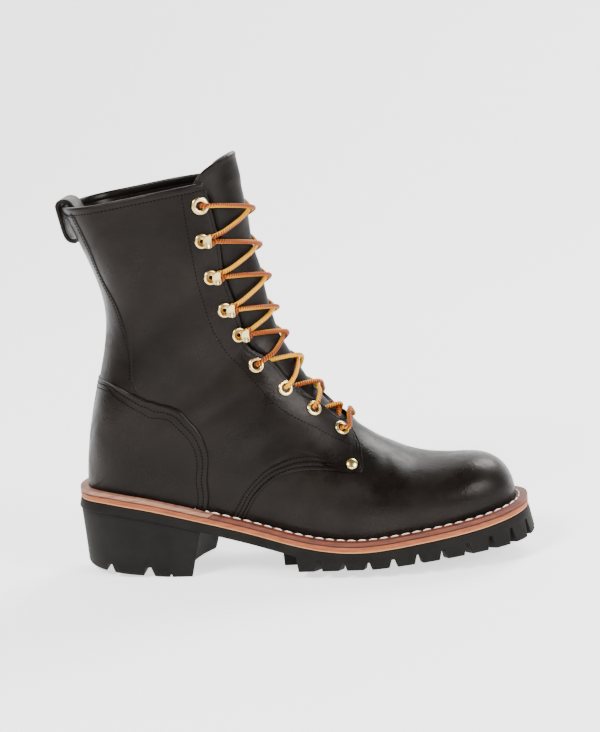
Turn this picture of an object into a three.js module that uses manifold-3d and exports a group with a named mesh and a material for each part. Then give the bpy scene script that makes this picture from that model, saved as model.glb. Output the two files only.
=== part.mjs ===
// A right logger boot: lugged rubber sole with a tall heel, leather midsole and welt,
// and a laced leather upper. Millimetres, +Z up, +X towards the toe, +Y to the inner side.
// The origin is on the floor, on the flat tread at the front of the heel.
import * as THREE from 'three';
import Module from 'manifold-3d';
import { mergeVertices } from 'three/addons/utils/BufferGeometryUtils.js';

const wasm = await Module();
wasm.setup();

// Upper: sizes of the form that it is drawn over, and its leathers
const UPPER_LENGTH = 296;
const BALL_WIDTH = 98;
const SHAFT_RISE = 230;
const HEEL_BACK = -62;
const HEEL_ROUND = 34;
const TOE_LIP = 4;
const WALL = 2.2;
const QUARTER_STEP = 1.2;
const COUNTER_THICK = 2.4;
const BACKSTAY_THICK = 1.7;
const TONGUE_THICK = 2.4;
const TONGUE_STAND = 16;
const TONGUE_ROUND = 1.25;
const BINDING_TALL = 6;
const BINDING_ROLL = 0.7;
const LOOP_WIDE = 25;
const LOOP_THICK = 2.4;

// Sole: sizes of its layers, from the seat under the heel of the foot down to the floor
const HEEL_SEAT = 58.6;
const WELT_THICK = 3.2;
const WELT_WIDE = 8.2;
const MIDSOLE_THICK = 4;
const SHEET_THICK = 6.3;
const SHEET_FLARE = 1.6;
const INSOLE_THICK = 3;
const HEEL_LONG = 80;
const HEEL_TAPER = 5.5;
const BREAST_HOLLOW = 8;
const BREAST_SWING = 8;
const BREAST_LEAN = 11;
const LUG_PITCH = 17;
const LUG_DEEP = 16;
const LUG_FLARE = 2.5;
const NOTCH_WIDE = 5.6;
const CROWN = 5.2;

// Metal and lace
const EYELET_OUT = 10.6;
const EYELET_HOLE = 5.4;
const TOP_EYELET_OUT = 12;
const HOOK_BASE = 10.2;
const HOOK_TALL = 7.6;
const HOOK_METAL = 1.3;
const RIVET_OUT = 8;
const LACE_ROUND = 3.6;

// Air left between neighbours
const GAP = 0.3;

// Stations along the form and points round each section, in each solid
const FOOT_STATIONS = 16;
const SHAFT_STATIONS = 8;
const ROUND = 20;
const PLAN_STATIONS = 22;

const clamp01 = (t) => Math.min(1, Math.max(0, t));
const mix = (a, b, t) => a + (b - a) * t;
const point = (x, y, z) => new THREE.Vector3(x, y, z);
const column = (rows, name) => rows.map((row) => row[name]);

// A natural cubic spline through the points (knots[i], values[i])
function spline(knots, values) {
  const n = knots.length;
  const bend = new Array(n).fill(0);
  const pivot = new Array(n).fill(1);
  const right = new Array(n).fill(0);
  for (let i = 1; i < n - 1; i++) {
    const before = knots[i] - knots[i - 1];
    const after = knots[i + 1] - knots[i];
    const slope = (values[i + 1] - values[i]) / after - (values[i] - values[i - 1]) / before;
    const lower = i > 1 ? before : 0;
    pivot[i] = 2 * (before + after) - (lower * lower) / pivot[i - 1];
    right[i] = 6 * slope - (lower * right[i - 1]) / pivot[i - 1];
  }
  for (let i = n - 2; i > 0; i--) {
    const after = i < n - 2 ? knots[i + 1] - knots[i] : 0;
    bend[i] = (right[i] - after * bend[i + 1]) / pivot[i];
  }
  return (at) => {
    let i = 0;
    while (i < n - 2 && at > knots[i + 1]) i++;
    const step = knots[i + 1] - knots[i];
    const t = (at - knots[i]) / step;
    const s = 1 - t;
    const cubic = ((s * s * s - s) * bend[i] + (t * t * t - t) * bend[i + 1]) * step * step / 6;
    return s * values[i] + t * values[i + 1] + cubic;
  };
}

const along = (share) => HEEL_BACK + UPPER_LENGTH * share;
const shareOf = (x) => (x - HEEL_BACK) / UPPER_LENGTH;

// Top of the midsole, where the upper stands: its height as a share of HEEL_SEAT
const SEAT_ROWS = [
  { x: -0.06, z: 0.985 }, { x: 0.00, z: 1.000 }, { x: 0.05, z: 1.000 }, { x: 0.10, z: 0.965 },
  { x: 0.17, z: 0.890 }, { x: 0.24, z: 0.800 }, { x: 0.32, z: 0.690 }, { x: 0.41, z: 0.560 },
  { x: 0.50, z: 0.440 }, { x: 0.56, z: 0.390 }, { x: 0.62, z: 0.368 }, { x: 0.68, z: 0.378 },
  { x: 0.77, z: 0.428 }, { x: 0.85, z: 0.475 }, { x: 0.93, z: 0.530 }, { x: 1.00, z: 0.590 },
  { x: 1.05, z: 0.635 },
];
const seatShare = spline(column(SEAT_ROWS, 'x'), column(SEAT_ROWS, 'z'));
const seat = (x) => HEEL_SEAT * seatShare(shareOf(x));

// Sections of the form, toe to collar. Each runs from a point on the front or top line
// (topX, topZ) to one on the featherline or back line (lowX, lowZ). x is a share of
// UPPER_LENGTH from the heel's back, z a share of SHAFT_RISE above the seat, and the half
// widths, at the belly and at the foot, are shares of BALL_WIDTH from the section's axis.
// axis and ridge are the sideways places of the low and top point, belly is how far down
// the section is broadest, full and sharp are the powers of the arch from top to belly.
const LAST_ROWS = [
  { topX: 1.000, topZ: 0.174, lowX: 1.000, lowZ: 0, axis: 0.040, ridge: 0.040,
    lat: 0.520, med: 0.440, latFoot: 0.490, medFoot: 0.420, belly: 0.72, full: 2.4, sharp: 2.1 },
  { topX: 0.899, topZ: 0.174, lowX: 0.899, lowZ: 0, axis: 0.040, ridge: 0.050,
    lat: 0.510, med: 0.445, latFoot: 0.480, medFoot: 0.420, belly: 0.70, full: 2.4, sharp: 2.1 },
  { topX: 0.794, topZ: 0.195, lowX: 0.794, lowZ: 0, axis: 0.035, ridge: 0.055,
    lat: 0.505, med: 0.450, latFoot: 0.480, medFoot: 0.423, belly: 0.70, full: 2.2, sharp: 2.0 },
  { topX: 0.703, topZ: 0.257, lowX: 0.669, lowZ: 0, axis: 0.030, ridge: 0.055,
    lat: 0.510, med: 0.455, latFoot: 0.485, medFoot: 0.423, belly: 0.72, full: 2.0, sharp: 1.85 },
  { topX: 0.642, topZ: 0.317, lowX: 0.584, lowZ: 0, axis: 0.020, ridge: 0.045,
    lat: 0.480, med: 0.420, latFoot: 0.450, medFoot: 0.383, belly: 0.74, full: 1.9, sharp: 1.75 },
  { topX: 0.595, topZ: 0.379, lowX: 0.500, lowZ: 0, axis: 0.015, ridge: 0.035,
    lat: 0.440, med: 0.370, latFoot: 0.393, medFoot: 0.306, belly: 0.72, full: 1.9, sharp: 1.70 },
  { topX: 0.534, topZ: 0.476, lowX: 0.3885, lowZ: 0, axis: 0.010, ridge: 0.025,
    lat: 0.385, med: 0.330, latFoot: 0.337, medFoot: 0.250, belly: 0.64, full: 1.9, sharp: 1.70 },
  { topX: 0.492, topZ: 0.571, lowX: 0.2365, lowZ: 0, axis: 0.000, ridge: 0.015,
    lat: 0.380, med: 0.360, latFoot: 0.316, medFoot: 0.296, belly: 0.56, full: 1.9, sharp: 1.75 },
  { topX: 0.472, topZ: 0.642, lowX: 0.004, lowZ: 0, axis: 0.000, ridge: 0.010,
    lat: 0.390, med: 0.385, latFoot: 0.316, medFoot: 0.310, belly: 0.52, full: 1.9, sharp: 1.75 },
  { topX: 0.463, topZ: 0.708, lowX: 0.012, lowZ: 0.102, axis: 0.000, ridge: 0.005,
    lat: 0.390, med: 0.390, latFoot: 0.380, medFoot: 0.380, belly: 0.50, full: 1.9, sharp: 1.75 },
  { topX: 0.453, topZ: 0.778, lowX: 0.038, lowZ: 0.267, axis: 0.000, ridge: 0.000,
    lat: 0.390, med: 0.390, latFoot: 0.390, medFoot: 0.390, belly: 0.50, full: 1.9, sharp: 1.75 },
  { topX: 0.441, topZ: 0.848, lowX: 0.071, lowZ: 0.4235, axis: 0.000, ridge: 0.000,
    lat: 0.385, med: 0.385, latFoot: 0.385, medFoot: 0.385, belly: 0.50, full: 1.9, sharp: 1.75 },
  { topX: 0.4345, topZ: 0.920, lowX: 0.0825, lowZ: 0.571, axis: 0.000, ridge: 0.000,
    lat: 0.398, med: 0.398, latFoot: 0.398, medFoot: 0.398, belly: 0.50, full: 1.9, sharp: 1.75 },
  { topX: 0.4284, topZ: 0.992, lowX: 0.055, lowZ: 0.706, axis: 0.000, ridge: 0.000,
    lat: 0.408, med: 0.408, latFoot: 0.408, medFoot: 0.408, belly: 0.50, full: 1.9, sharp: 1.75 },
  { topX: 0.420, topZ: 1.063, lowX: 0.010, lowZ: 0.852, axis: 0.000, ridge: 0.000,
    lat: 0.418, med: 0.418, latFoot: 0.418, medFoot: 0.418, belly: 0.50, full: 1.9, sharp: 1.75 },
  { topX: 0.4105, topZ: 1.1335, lowX: -0.027, lowZ: 0.967, axis: 0.000, ridge: 0.000,
    lat: 0.428, med: 0.428, latFoot: 0.428, medFoot: 0.428, belly: 0.50, full: 1.9, sharp: 1.75 },
];
const HEEL_ROW = 8;

// Knots of the table: the mean distance travelled by the two ends of a section
const LAST_KNOTS = [0];
for (let i = 1; i < LAST_ROWS.length; i++) {
  const a = LAST_ROWS[i - 1];
  const b = LAST_ROWS[i];
  const top = Math.hypot((b.topX - a.topX) * UPPER_LENGTH, (b.topZ - a.topZ) * SHAFT_RISE);
  const low = Math.hypot((b.lowX - a.lowX) * UPPER_LENGTH, (b.lowZ - a.lowZ) * SHAFT_RISE);
  LAST_KNOTS.push(LAST_KNOTS[i - 1] + (top + low) / 2);
}
const LAST_END = LAST_KNOTS[LAST_KNOTS.length - 1];
const CORNER = LAST_KNOTS[HEEL_ROW];
const AFTER_CORNER = LAST_KNOTS[HEEL_ROW + 1];
const last = {};
for (const name of Object.keys(LAST_ROWS[0])) last[name] = spline(LAST_KNOTS, column(LAST_ROWS, name));

// The toe's round end, in plan and from the side, as a share of the full size
const TOE_PLAN = { start: 0.64, latTaper: 2.3, medTaper: 2.8, blunt: 2.2 };
const TOE_DOME = { start: 0.872, taper: 2.5, blunt: 2 };
function roundEnd(share, start, taper, blunt) {
  const t = clamp01((share - start) / (1 - start));
  return (1 - t ** taper) ** (1 / blunt);
}

// x of the back line at height z
const BACK_ROWS = LAST_ROWS.slice(HEEL_ROW);
const backShare = spline(column(BACK_ROWS, 'lowZ'), column(BACK_ROWS, 'lowX'));
const backAt = (z) => along(backShare(Math.max(0, (z - HEEL_SEAT) / SHAFT_RISE)));

// The form's point in the section at place `at` (mm along the table's knots), a share
// `down` of the way from its top to its low point, on side -1 (outer) or +1 (inner)
function lastPoint(at, down, side) {
  const f = {};
  for (const name of Object.keys(last)) f[name] = last[name](at);
  const topX = along(Math.min(1, f.topX));
  const solePlace = along(Math.min(1, f.lowX));
  const dome = roundEnd(f.topX, TOE_DOME.start, TOE_DOME.taper, TOE_DOME.blunt);
  const topZ = seat(topX) + TOE_LIP + (f.topZ * SHAFT_RISE - TOE_LIP) * dome;
  const climb = clamp01((at - CORNER) / (AFTER_CORNER - CORNER));
  const lowZ = mix(seat(solePlace), HEEL_SEAT + f.lowZ * SHAFT_RISE, climb);
  const lowX = at < CORNER ? solePlace : backAt(lowZ);
  const x = mix(topX, lowX, down);
  const z = mix(topZ, lowZ, down);
  const taper = side < 0 ? TOE_PLAN.latTaper : TOE_PLAN.medTaper;
  const plan = roundEnd(mix(f.topX, f.lowX, down), TOE_PLAN.start, taper, TOE_PLAN.blunt);
  const belly = (side < 0 ? f.lat : f.med) * BALL_WIDTH;
  const foot = (side < 0 ? f.latFoot : f.medFoot) * BALL_WIDTH;
  const arch = belly * (1 - (1 - Math.min(1, down / f.belly)) ** f.full) ** (1 / f.sharp);
  const tuck = mix(belly, foot, clamp01((down - f.belly) / (1 - f.belly)) ** 2);
  const half = down < f.belly ? arch : tuck;
  const inward = clamp01((x - backAt(z)) / HEEL_ROUND);
  const back = Math.sqrt(1 - (1 - inward) ** 2);
  const middle = mix(f.ridge, f.axis, down) * BALL_WIDTH;
  return point(x, middle + side * half * plan * back, z);
}

// Outward normal of the form at the same place
function lastNormal(at, down, side) {
  const small = 0.002;
  const near = 0.2;
  const ahead = lastPoint(at + near, down, side).sub(lastPoint(at - near, down, side));
  const middle = Math.max(down, small);
  const lower = lastPoint(at, middle + small, side).sub(lastPoint(at, middle - small, side));
  return ahead.cross(lower).multiplyScalar(-side).normalize();
}

// The same place on the flat facets between the form's stations, where the metal is set
function facetPoint(at, down, side) {
  const places = stations();
  const i = places.findIndex((place) => place >= at);
  let j = 1;
  while (ringDown(j / (ROUND / 2)) < down) j++;
  const [above, below] = [ringDown((j - 1) / (ROUND / 2)), ringDown(j / (ROUND / 2))];
  const t = (at - places[i - 1]) / (places[i] - places[i - 1]);
  const s = (down - above) / (below - above);
  const back = lastPoint(places[i - 1], above, side).lerp(lastPoint(places[i - 1], below, side), s);
  const front = lastPoint(places[i], above, side).lerp(lastPoint(places[i], below, side), s);
  return back.lerp(front, t);
}

// A solid from loose triangles: vertices that coincide are merged, slivers dropped
function solid(points, triangles) {
  const loose = new THREE.BufferGeometry().setFromPoints(points);
  loose.setIndex(triangles.flat());
  const merged = mergeVertices(loose, 1e-4);
  const kept = [];
  const index = merged.index.array;
  for (let i = 0; i < index.length; i += 3) {
    const [a, b, c] = [index[i], index[i + 1], index[i + 2]];
    if (a !== b && b !== c && c !== a) kept.push(a, b, c);
  }
  const vertProperties = new Float32Array(merged.attributes.position.array);
  const mesh = new wasm.Mesh({ numProp: 3, vertProperties, triVerts: new Uint32Array(kept) });
  const made = new wasm.Manifold(mesh);
  if (made.volume() > 0) return made;
  const turned = [];
  for (let i = 0; i < kept.length; i += 3) turned.push(kept[i], kept[i + 2], kept[i + 1]);
  return new wasm.Manifold(new wasm.Mesh({ numProp: 3, vertProperties, triVerts: new Uint32Array(turned) }));
}

// A solid through closed rings of equally many points, its ends closed by fans
function loft(rings) {
  const n = rings[0].length;
  const faces = [];
  for (let i = 0; i + 1 < rings.length; i++) {
    for (let j = 0; j < n; j++) {
      const a = i * n + j;
      const b = i * n + (j + 1) % n;
      faces.push([a, b, b + n], [a, b + n, a + n]);
    }
  }
  const end = (rings.length - 1) * n;
  for (let j = 1; j + 1 < n; j++) {
    faces.push([0, j + 1, j]);
    faces.push([end, end + j, end + j + 1]);
  }
  return solid(rings.flat(), faces);
}

// A solid from one of three's own closed geometries
function solidOf(geometry) {
  const plain = geometry.index ? geometry : mergeVertices(geometry);
  const at = plain.attributes.position;
  const points = [];
  for (let i = 0; i < at.count; i++) points.push(point(at.getX(i), at.getY(i), at.getZ(i)));
  const faces = [];
  for (let i = 0; i < plain.index.count; i += 3) {
    faces.push([plain.index.getX(i), plain.index.getX(i + 1), plain.index.getX(i + 2)]);
  }
  return solid(points, faces);
}

// The form as a grid of sections, with smooth normals worked out from its own faces.
// A SKIRT of straight wall goes down from the featherline, so that cuts pass through.
const SKIRT = 12;
const ringDown = (v) => mix(v, (1 - Math.cos(Math.PI * v)) / 2, 0.85);
function stations() {
  const places = [];
  for (let i = 0; i < FOOT_STATIONS; i++) {
    places.push(CORNER * (1 - Math.cos(Math.PI * i / FOOT_STATIONS)) / 2);
  }
  for (let i = 0; i <= SHAFT_STATIONS; i++) places.push(mix(CORNER, LAST_END, i / SHAFT_STATIONS));
  return places;
}
function formGrid() {
  const places = stations();
  const points = [];
  for (const at of places) {
    const drop = point(0, 0, at <= CORNER ? -SKIRT : 0);
    for (let j = 0; j <= ROUND; j++) {
      const v = (j - ROUND / 2) / (ROUND / 2);
      const down = ringDown(Math.abs(v));
      const closed = at === 0 || (down === 1 && at >= CORNER);
      const place = lastPoint(at, down, v < 0 && !closed ? -1 : 1);
      if (j === 0) points.push(place.clone().add(drop));
      points.push(place);
      if (j === ROUND) points.push(place.clone().add(drop));
    }
  }
  const row = ROUND + 3;
  const skin = [];
  const caps = [];
  for (let i = 0; i + 1 < places.length; i++) {
    const a = i * row;
    const skirt = i < FOOT_STATIONS ? 0 : 1;
    for (let j = a + skirt; j < a + row - 1 - skirt; j++) {
      skin.push([j, j + 1, j + row + 1], [j, j + row + 1, j + row]);
    }
    if (!skirt) caps.push([a, a + row, a + 2 * row - 1], [a, a + 2 * row - 1, a + row - 1]);
  }
  const end = (places.length - 1) * row;
  for (let j = 1; j < row / 2 - 1; j++) {
    const k = row - 1 - j;
    caps.push([end + j, end + j + 1, end + k - 1], [end + j, end + k - 1, end + k]);
  }
  const sheet = new THREE.BufferGeometry().setFromPoints(points);
  sheet.setIndex(skin.flat());
  const merged = mergeVertices(sheet, 1e-4);
  merged.computeVertexNormals();
  const away = merged.attributes.normal;
  const normals = points.map(() => point(0, 0, 0));
  skin.flat().forEach((old, k) => {
    const m = merged.index.getX(k);
    normals[old] = point(away.getX(m), away.getY(m), away.getZ(m));
  });
  if (normals[Math.round(row / 4) + 10 * row].y > 0) for (const normal of normals) normal.negate();
  return { points, normals, faces: skin.concat(caps) };
}

const FORM = formGrid();
const form = (grow) => solid(
  FORM.points.map((p, i) => p.clone().addScaledVector(FORM.normals[i], grow)),
  FORM.faces,
);

// Blocks between two heights that follow a line along the boot, for cutting
const FAR = 150;
const planAt = (i) => CORNER * (1 - Math.cos(Math.PI * i / PLAN_STATIONS)) / 2;
const PLAN_X = Array.from({ length: PLAN_STATIONS + 1 }, (_, i) => lastPoint(planAt(i), 1, 1).x);
const BLOCK_X = [along(1.17), along(1.03), ...PLAN_X, along(-0.03), along(-0.16)];
function block(lowAt, topAt) {
  return loft(BLOCK_X.map((x) => [point(x, -FAR, lowAt(x)), point(x, FAR, lowAt(x)),
    point(x, FAR, topAt(x)), point(x, -FAR, topAt(x))]));
}
const aboveSeat = (height) => block((x) => seat(x) + height, () => 3 * SHAFT_RISE);
const belowSeat = (height) => block(() => -FAR, (x) => seat(x) + height);

// The top line of the shaft, as a share of SHAFT_RISE over the heel seat
const COLLAR_ROWS = [
  { x: -0.20, z: 0.855 }, { x: 0.00, z: 0.871 }, { x: 0.14, z: 0.891 }, { x: 0.24, z: 0.909 },
  { x: 0.39, z: 0.929 }, { x: 0.60, z: 0.945 },
];
const collarShare = spline(column(COLLAR_ROWS, 'x'), column(COLLAR_ROWS, 'z'));
const collarAt = (x) => HEEL_SEAT + SHAFT_RISE * collarShare(shareOf(Math.min(x, along(0.6))));
const aboveCollar = (height) => block((x) => collarAt(x) + height, () => 3 * SHAFT_RISE);

// An outline seen from the side, carried across the boot. x is a share of UPPER_LENGTH
// from the heel's back, z a share of SHAFT_RISE over the seat.
function sidePrism(rows) {
  const outline = rows.map(([x, z]) => new THREE.Vector2(along(x), seat(along(x)) + z * SHAFT_RISE));
  const sheet = { depth: 2 * FAR, bevelEnabled: false };
  const across = new THREE.ExtrudeGeometry(new THREE.Shape(outline), sheet);
  across.rotateX(Math.PI / 2).translate(0, FAR, 0);
  return solidOf(across);
}

// Edges of the leathers, front to back or top to bottom
const QUARTER_EDGE = [
  [0.625, 0.353], [0.645, 0.300], [0.656, 0.273], [0.661, 0.237], [0.662, 0.204], [0.655, 0.190],
  [0.637, 0.187], [0.600, 0.193], [0.560, 0.195], [0.513, 0.182], [0.477, 0.156], [0.449, 0.127],
  [0.425, 0.089], [0.406, 0.045], [0.395, -0.050],
];
const EYESTAY_EDGE = [
  [0.280, 1.200], [0.299, 0.974], [0.304, 0.889], [0.311, 0.794], [0.318, 0.717], [0.331, 0.636],
  [0.348, 0.565], [0.378, 0.495], [0.413, 0.451], [0.444, 0.407], [0.477, 0.369], [0.511, 0.346],
  [0.545, 0.326],
];
const LAP_EDGE = [[0.549, 0.232], [0.491, 0.212], [0.456, 0.182], [0.415, 0.122], [0.380, 0.060]];
const COUNTER_EDGE = [
  [0.020, 0.366], [0.061, 0.366], [0.096, 0.361], [0.132, 0.351], [0.164, 0.341], [0.193, 0.330],
  [0.221, 0.315], [0.250, 0.295], [0.272, 0.269], [0.288, 0.245], [0.300, 0.215], [0.307, 0.185],
  [0.308, 0.134], [0.304, 0.080], [0.301, 0.020],
];
const BACKSTAY_EDGE = [
  [0.030, 0.920], [0.044, 0.852], [0.074, 0.752], [0.093, 0.669], [0.117, 0.612], [0.140, 0.536],
  [0.152, 0.467], [0.155, 0.345],
];
const shift = (rows, x, z) => rows.map(([a, b]) => [a + x, b + z]);
const AIR = GAP / SHAFT_RISE;
const quarterZone = sidePrism([[-0.300, -0.100], [-0.300, 1.300], [0.625, 1.300], ...QUARTER_EDGE]);
const counterZone = (air) => sidePrism(
  [[-0.300, -0.050], [-0.300, 0.366 + air], ...shift(COUNTER_EDGE, air, air), [0.301 + air, -0.050]],
);
const backstayZone = (air) => sidePrism(
  [[0.155 + air, 0.300], [-0.300, 0.300], [-0.300, 0.960], [0.020, 0.960], ...shift(BACKSTAY_EDGE, air, 0)],
);

// The throat: its half width as a share of BALL_WIDTH, at a share of the table's length
const THROAT_ROWS = [
  { at: 0.300, gap: 0.020, tongue: 0.150 }, { at: 0.308, gap: 0.060, tongue: 0.160 },
  { at: 0.348, gap: 0.110, tongue: 0.205 }, { at: 0.396, gap: 0.152, tongue: 0.240 },
  { at: 0.463, gap: 0.190, tongue: 0.272 }, { at: 0.550, gap: 0.225, tongue: 0.290 },
  { at: 0.650, gap: 0.255, tongue: 0.308 }, { at: 0.764, gap: 0.283, tongue: 0.325 },
  { at: 0.870, gap: 0.300, tongue: 0.336 }, { at: 1.000, gap: 0.305, tongue: 0.338 },
];
const throatGap = spline(column(THROAT_ROWS, 'at'), column(THROAT_ROWS, 'gap'));
const tongueHalf = spline(column(THROAT_ROWS, 'at'), column(THROAT_ROWS, 'tongue'));

// A strip down the front of the boot, from outside the form to `deep` of each section
const frontMiddle = (at) => (lastPoint(at, 0.15, 1).y + lastPoint(at, 0.15, -1).y) / 2;
function frontStrip(places, halfAt, deep) {
  return loft(places.map((share) => {
    const at = share * LAST_END;
    const top = lastPoint(at, 0, 1);
    const low = lastPoint(at, 1, 1);
    const way = point(low.x - top.x, 0, low.z - top.z);
    const outer = top.clone().addScaledVector(way.clone().normalize(), -TONGUE_STAND);
    const inner = top.clone().addScaledVector(way, deep);
    const half = halfAt(share) * BALL_WIDTH;
    const corner = (place, y) => point(place.x, frontMiddle(at) + y, place.z);
    return [corner(outer, -half), corner(outer, half), corner(inner, half), corner(inner, -half)];
  }));
}
const steps = (from, to, count) => Array.from({ length: count + 1 }, (_, i) => mix(from, to, i / count));
const throat = frontStrip([0.300, 0.304, 0.310, ...steps(0.340, 1.000, 10)], throatGap, 0.42);

// The upper: vamp, with the quarters a step prouder, hollow to its own thickness
const outerSkin = form(0)
  .add(form(QUARTER_STEP).intersect(quarterZone).intersect(aboveSeat(WELT_THICK + 2 * GAP))
    .subtract(counterZone(AIR * 1.5)).subtract(backstayZone(AIR * 1.5)));
const shaftZone = sidePrism([
  [0.030, 1.200], ...EYESTAY_EDGE, ...LAP_EDGE, [0.330, 0.060],
  ...shift(COUNTER_EDGE.slice(5, 14), 0.018, 0.012).reverse(),
  [0.172, 0.370], [0.170, 0.467], [0.158, 0.540], [0.135, 0.615], [0.110, 0.680], [0.090, 0.760],
  [0.060, 0.855],
]);
const hollow = form(-WALL).add(form(QUARTER_STEP - WALL).intersect(shaftZone));

// Eyelets and hooks, bottom to top: place along the table, share down the section
const LACING = [
  { at: 0.310, down: 0.089, kind: 'eyelet', wide: EYELET_OUT },
  { at: 0.371, down: 0.115, kind: 'eyelet', wide: EYELET_OUT },
  { at: 0.436, down: 0.157, kind: 'eyelet', wide: EYELET_OUT },
  { at: 0.522, down: 0.167, kind: 'eyelet', wide: EYELET_OUT },
  { at: 0.620, down: 0.157, kind: 'hook', wide: HOOK_BASE },
  { at: 0.685, down: 0.204, kind: 'hook', wide: HOOK_BASE },
  { at: 0.768, down: 0.259, kind: 'hook', wide: HOOK_BASE },
  { at: 0.841, down: 0.282, kind: 'hook', wide: HOOK_BASE },
  { at: 0.902, down: 0.239, kind: 'eyelet', wide: TOP_EYELET_OUT },
];

// A frame on the form: x to the throat, y up the boot, z outward, `lift` over the form
function placeOn(at, down, side, lift) {
  const out = lastNormal(at * LAST_END, down, side);
  const here = facetPoint(at * LAST_END, down, side);
  const front = facetPoint(at * LAST_END, down - 0.01, side).sub(here);
  front.addScaledVector(out, -front.dot(out)).normalize();
  const up = out.clone().cross(front);
  const frame = new THREE.Matrix4().makeBasis(front, up, out);
  return frame.setPosition(here.addScaledVector(out, lift));
}
const placed = (geometry, frame) => solidOf(geometry.clone().applyMatrix4(frame));

const BARREL = EYELET_HOLE / 2 + 0.6;
function hole(row, side) {
  const pin = new THREE.CylinderGeometry(BARREL + GAP, BARREL + GAP, 16, 10);
  return placed(pin.rotateX(Math.PI / 2), placeOn(row.at, row.down, side, 0));
}
let upper = outerSkin.subtract(hollow).subtract(belowSeat(GAP)).subtract(throat)
  .subtract(aboveCollar(-BINDING_TALL - GAP));
for (const row of LACING) {
  if (row.kind !== 'eyelet') continue;
  for (const side of [-1, 1]) upper = upper.subtract(hole(row, side));
}

// The other leathers, cut between two larger forms
const between = (outer, inner) => form(outer).subtract(form(inner));
const aboveWelt = aboveSeat(WELT_THICK + 2 * GAP);
const counter = between(GAP + COUNTER_THICK, GAP).intersect(counterZone(0)).intersect(aboveWelt);
const backstay = between(GAP + BACKSTAY_THICK, GAP).intersect(backstayZone(0))
  .subtract(counterZone(AIR * 1.5)).subtract(aboveCollar(-BINDING_TALL - GAP));
const binding = between(QUARTER_STEP + BINDING_ROLL, QUARTER_STEP - WALL - BINDING_ROLL)
  .intersect(aboveCollar(-BINDING_TALL)).subtract(aboveCollar(0)).subtract(throat);

// The tongue follows the form inside the wall, and its round end stands over the collar
const tongueTop = loft([-1.2, -0.8, -0.4, 0, 0.4, 0.8, 1.2].map((share) => {
  const y = share * 0.338 * BALL_WIDTH;
  const z = collarAt(along(0.4)) + TONGUE_STAND * (1 - TONGUE_ROUND * share * share);
  const above = 3 * SHAFT_RISE;
  return [point(-FAR, y, z), point(FAR, y, z), point(FAR, y, above), point(-FAR, y, above)];
}));
const tongue = between(-WALL - GAP, -WALL - GAP - TONGUE_THICK)
  .intersect(frontStrip(steps(0.270, 0.995, 11), (share) => tongueHalf(Math.max(0.3, share)), 0.42))
  .subtract(tongueTop);

// The pull loop: a ribbon up the inside, over the rim and down in a bow outside. z is
// measured from the rim at the back, out from the back line, both in mm.
const LOOP_ROWS = [
  { z: -24, out: -7.2 }, { z: -12, out: -7.2 }, { z: -2, out: -7.0 }, { z: 2.2, out: -4.8 },
  { z: 3.2, out: -1.5 }, { z: 2.4, out: 2.2 }, { z: -2, out: 4.6 }, { z: -9, out: 7.4 },
  { z: -16, out: 9.7 }, { z: -22, out: 10.6 }, { z: -25.2, out: 8.6 }, { z: -25.8, out: 4.0 },
];
function ribbon(rows, thick) {
  const rim = collarAt(backAt(collarAt(HEEL_BACK)));
  const line = new THREE.SplineCurve(rows.map((row) => {
    const z = rim + row.z;
    return new THREE.Vector2(backAt(Math.min(z, rim)) - row.out, z);
  }));
  const places = steps(0, 1, 20);
  const edge = (turn) => places.map((t) => {
    const way = line.getTangent(t);
    return line.getPoint(t).add(new THREE.Vector2(-way.y, way.x).multiplyScalar(turn * thick / 2));
  });
  return new THREE.Shape(edge(1).concat(edge(-1).reverse()));
}
const loopShape = ribbon(LOOP_ROWS, LOOP_THICK);
const loopBand = new THREE.ExtrudeGeometry(loopShape, { depth: LOOP_WIDE, bevelEnabled: false });
const pullLoop = solidOf(loopBand.rotateX(Math.PI / 2).translate(0, LOOP_WIDE / 2, 0));

// The featherline in plan, toe to heel down the outer side and back up the inner side
function planLoop(finer) {
  const places = steps(0, PLAN_STATIONS, PLAN_STATIONS * finer);
  const side = (turn) => places.map((i) => lastPoint(planAt(i), 1, turn));
  const loop = side(-1).concat(side(1).reverse().slice(1, -1));
  return loop.map((place, i) => {
    const next = loop[(i + 1) % loop.length];
    const before = loop[(i + loop.length - 1) % loop.length];
    return { place, away: point(before.y - next.y, next.x - before.x, 0).normalize() };
  });
}

// A layer of the sole: the featherline grown by `lowGrow` and `topGrow` at its two faces
function layer(topAt, lowAt, topGrow, lowGrow) {
  const loop = planLoop(1);
  const n = PLAN_STATIONS;
  const grown = (i, grow, heightAt) => {
    const { place, away } = loop[i % loop.length];
    const moved = place.clone().addScaledVector(away, grow(away, place));
    return moved.setZ(heightAt(moved.x, moved.y));
  };
  return loft(steps(0, n, n).map((_, i) => [grown(i, lowGrow, lowAt), grown(2 * n - i, lowGrow, lowAt),
    grown(2 * n - i, topGrow, topAt), grown(i, topGrow, topAt)]));
}
const evenly = (amount) => () => amount;

const insole = form(-WALL - 2 * GAP).intersect(aboveSeat(GAP)).subtract(aboveSeat(GAP + INSOLE_THICK));
const midsole = layer(seat, (x) => seat(x) - MIDSOLE_THICK, evenly(WELT_WIDE), evenly(WELT_WIDE));
const SPLICE = along(0.30);
const weltTop = (x) => seat(x) + GAP + WELT_THICK;
const strip = layer(weltTop, (x) => seat(x) + GAP, evenly(WELT_WIDE), evenly(WELT_WIDE))
  .subtract(form(GAP)).subtract(form(-WALL));
const acrossAt = (x, lean) => loft([-FAR, FAR].map((y) => [point(x, y, -FAR), point(x + lean, y, FAR),
  point(x + lean + 3 * FAR, y, FAR), point(x + 3 * FAR, y, -FAR)]));
const SPLICE_LEAN = 260;
const splice = acrossAt(SPLICE - 0.5 * SPLICE_LEAN, SPLICE_LEAN);
const spliceAir = acrossAt(SPLICE - 0.5 * SPLICE_LEAN - 4 * GAP, SPLICE_LEAN);
const welt = strip.intersect(splice);
const heelRand = strip.subtract(spliceAir);

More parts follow.
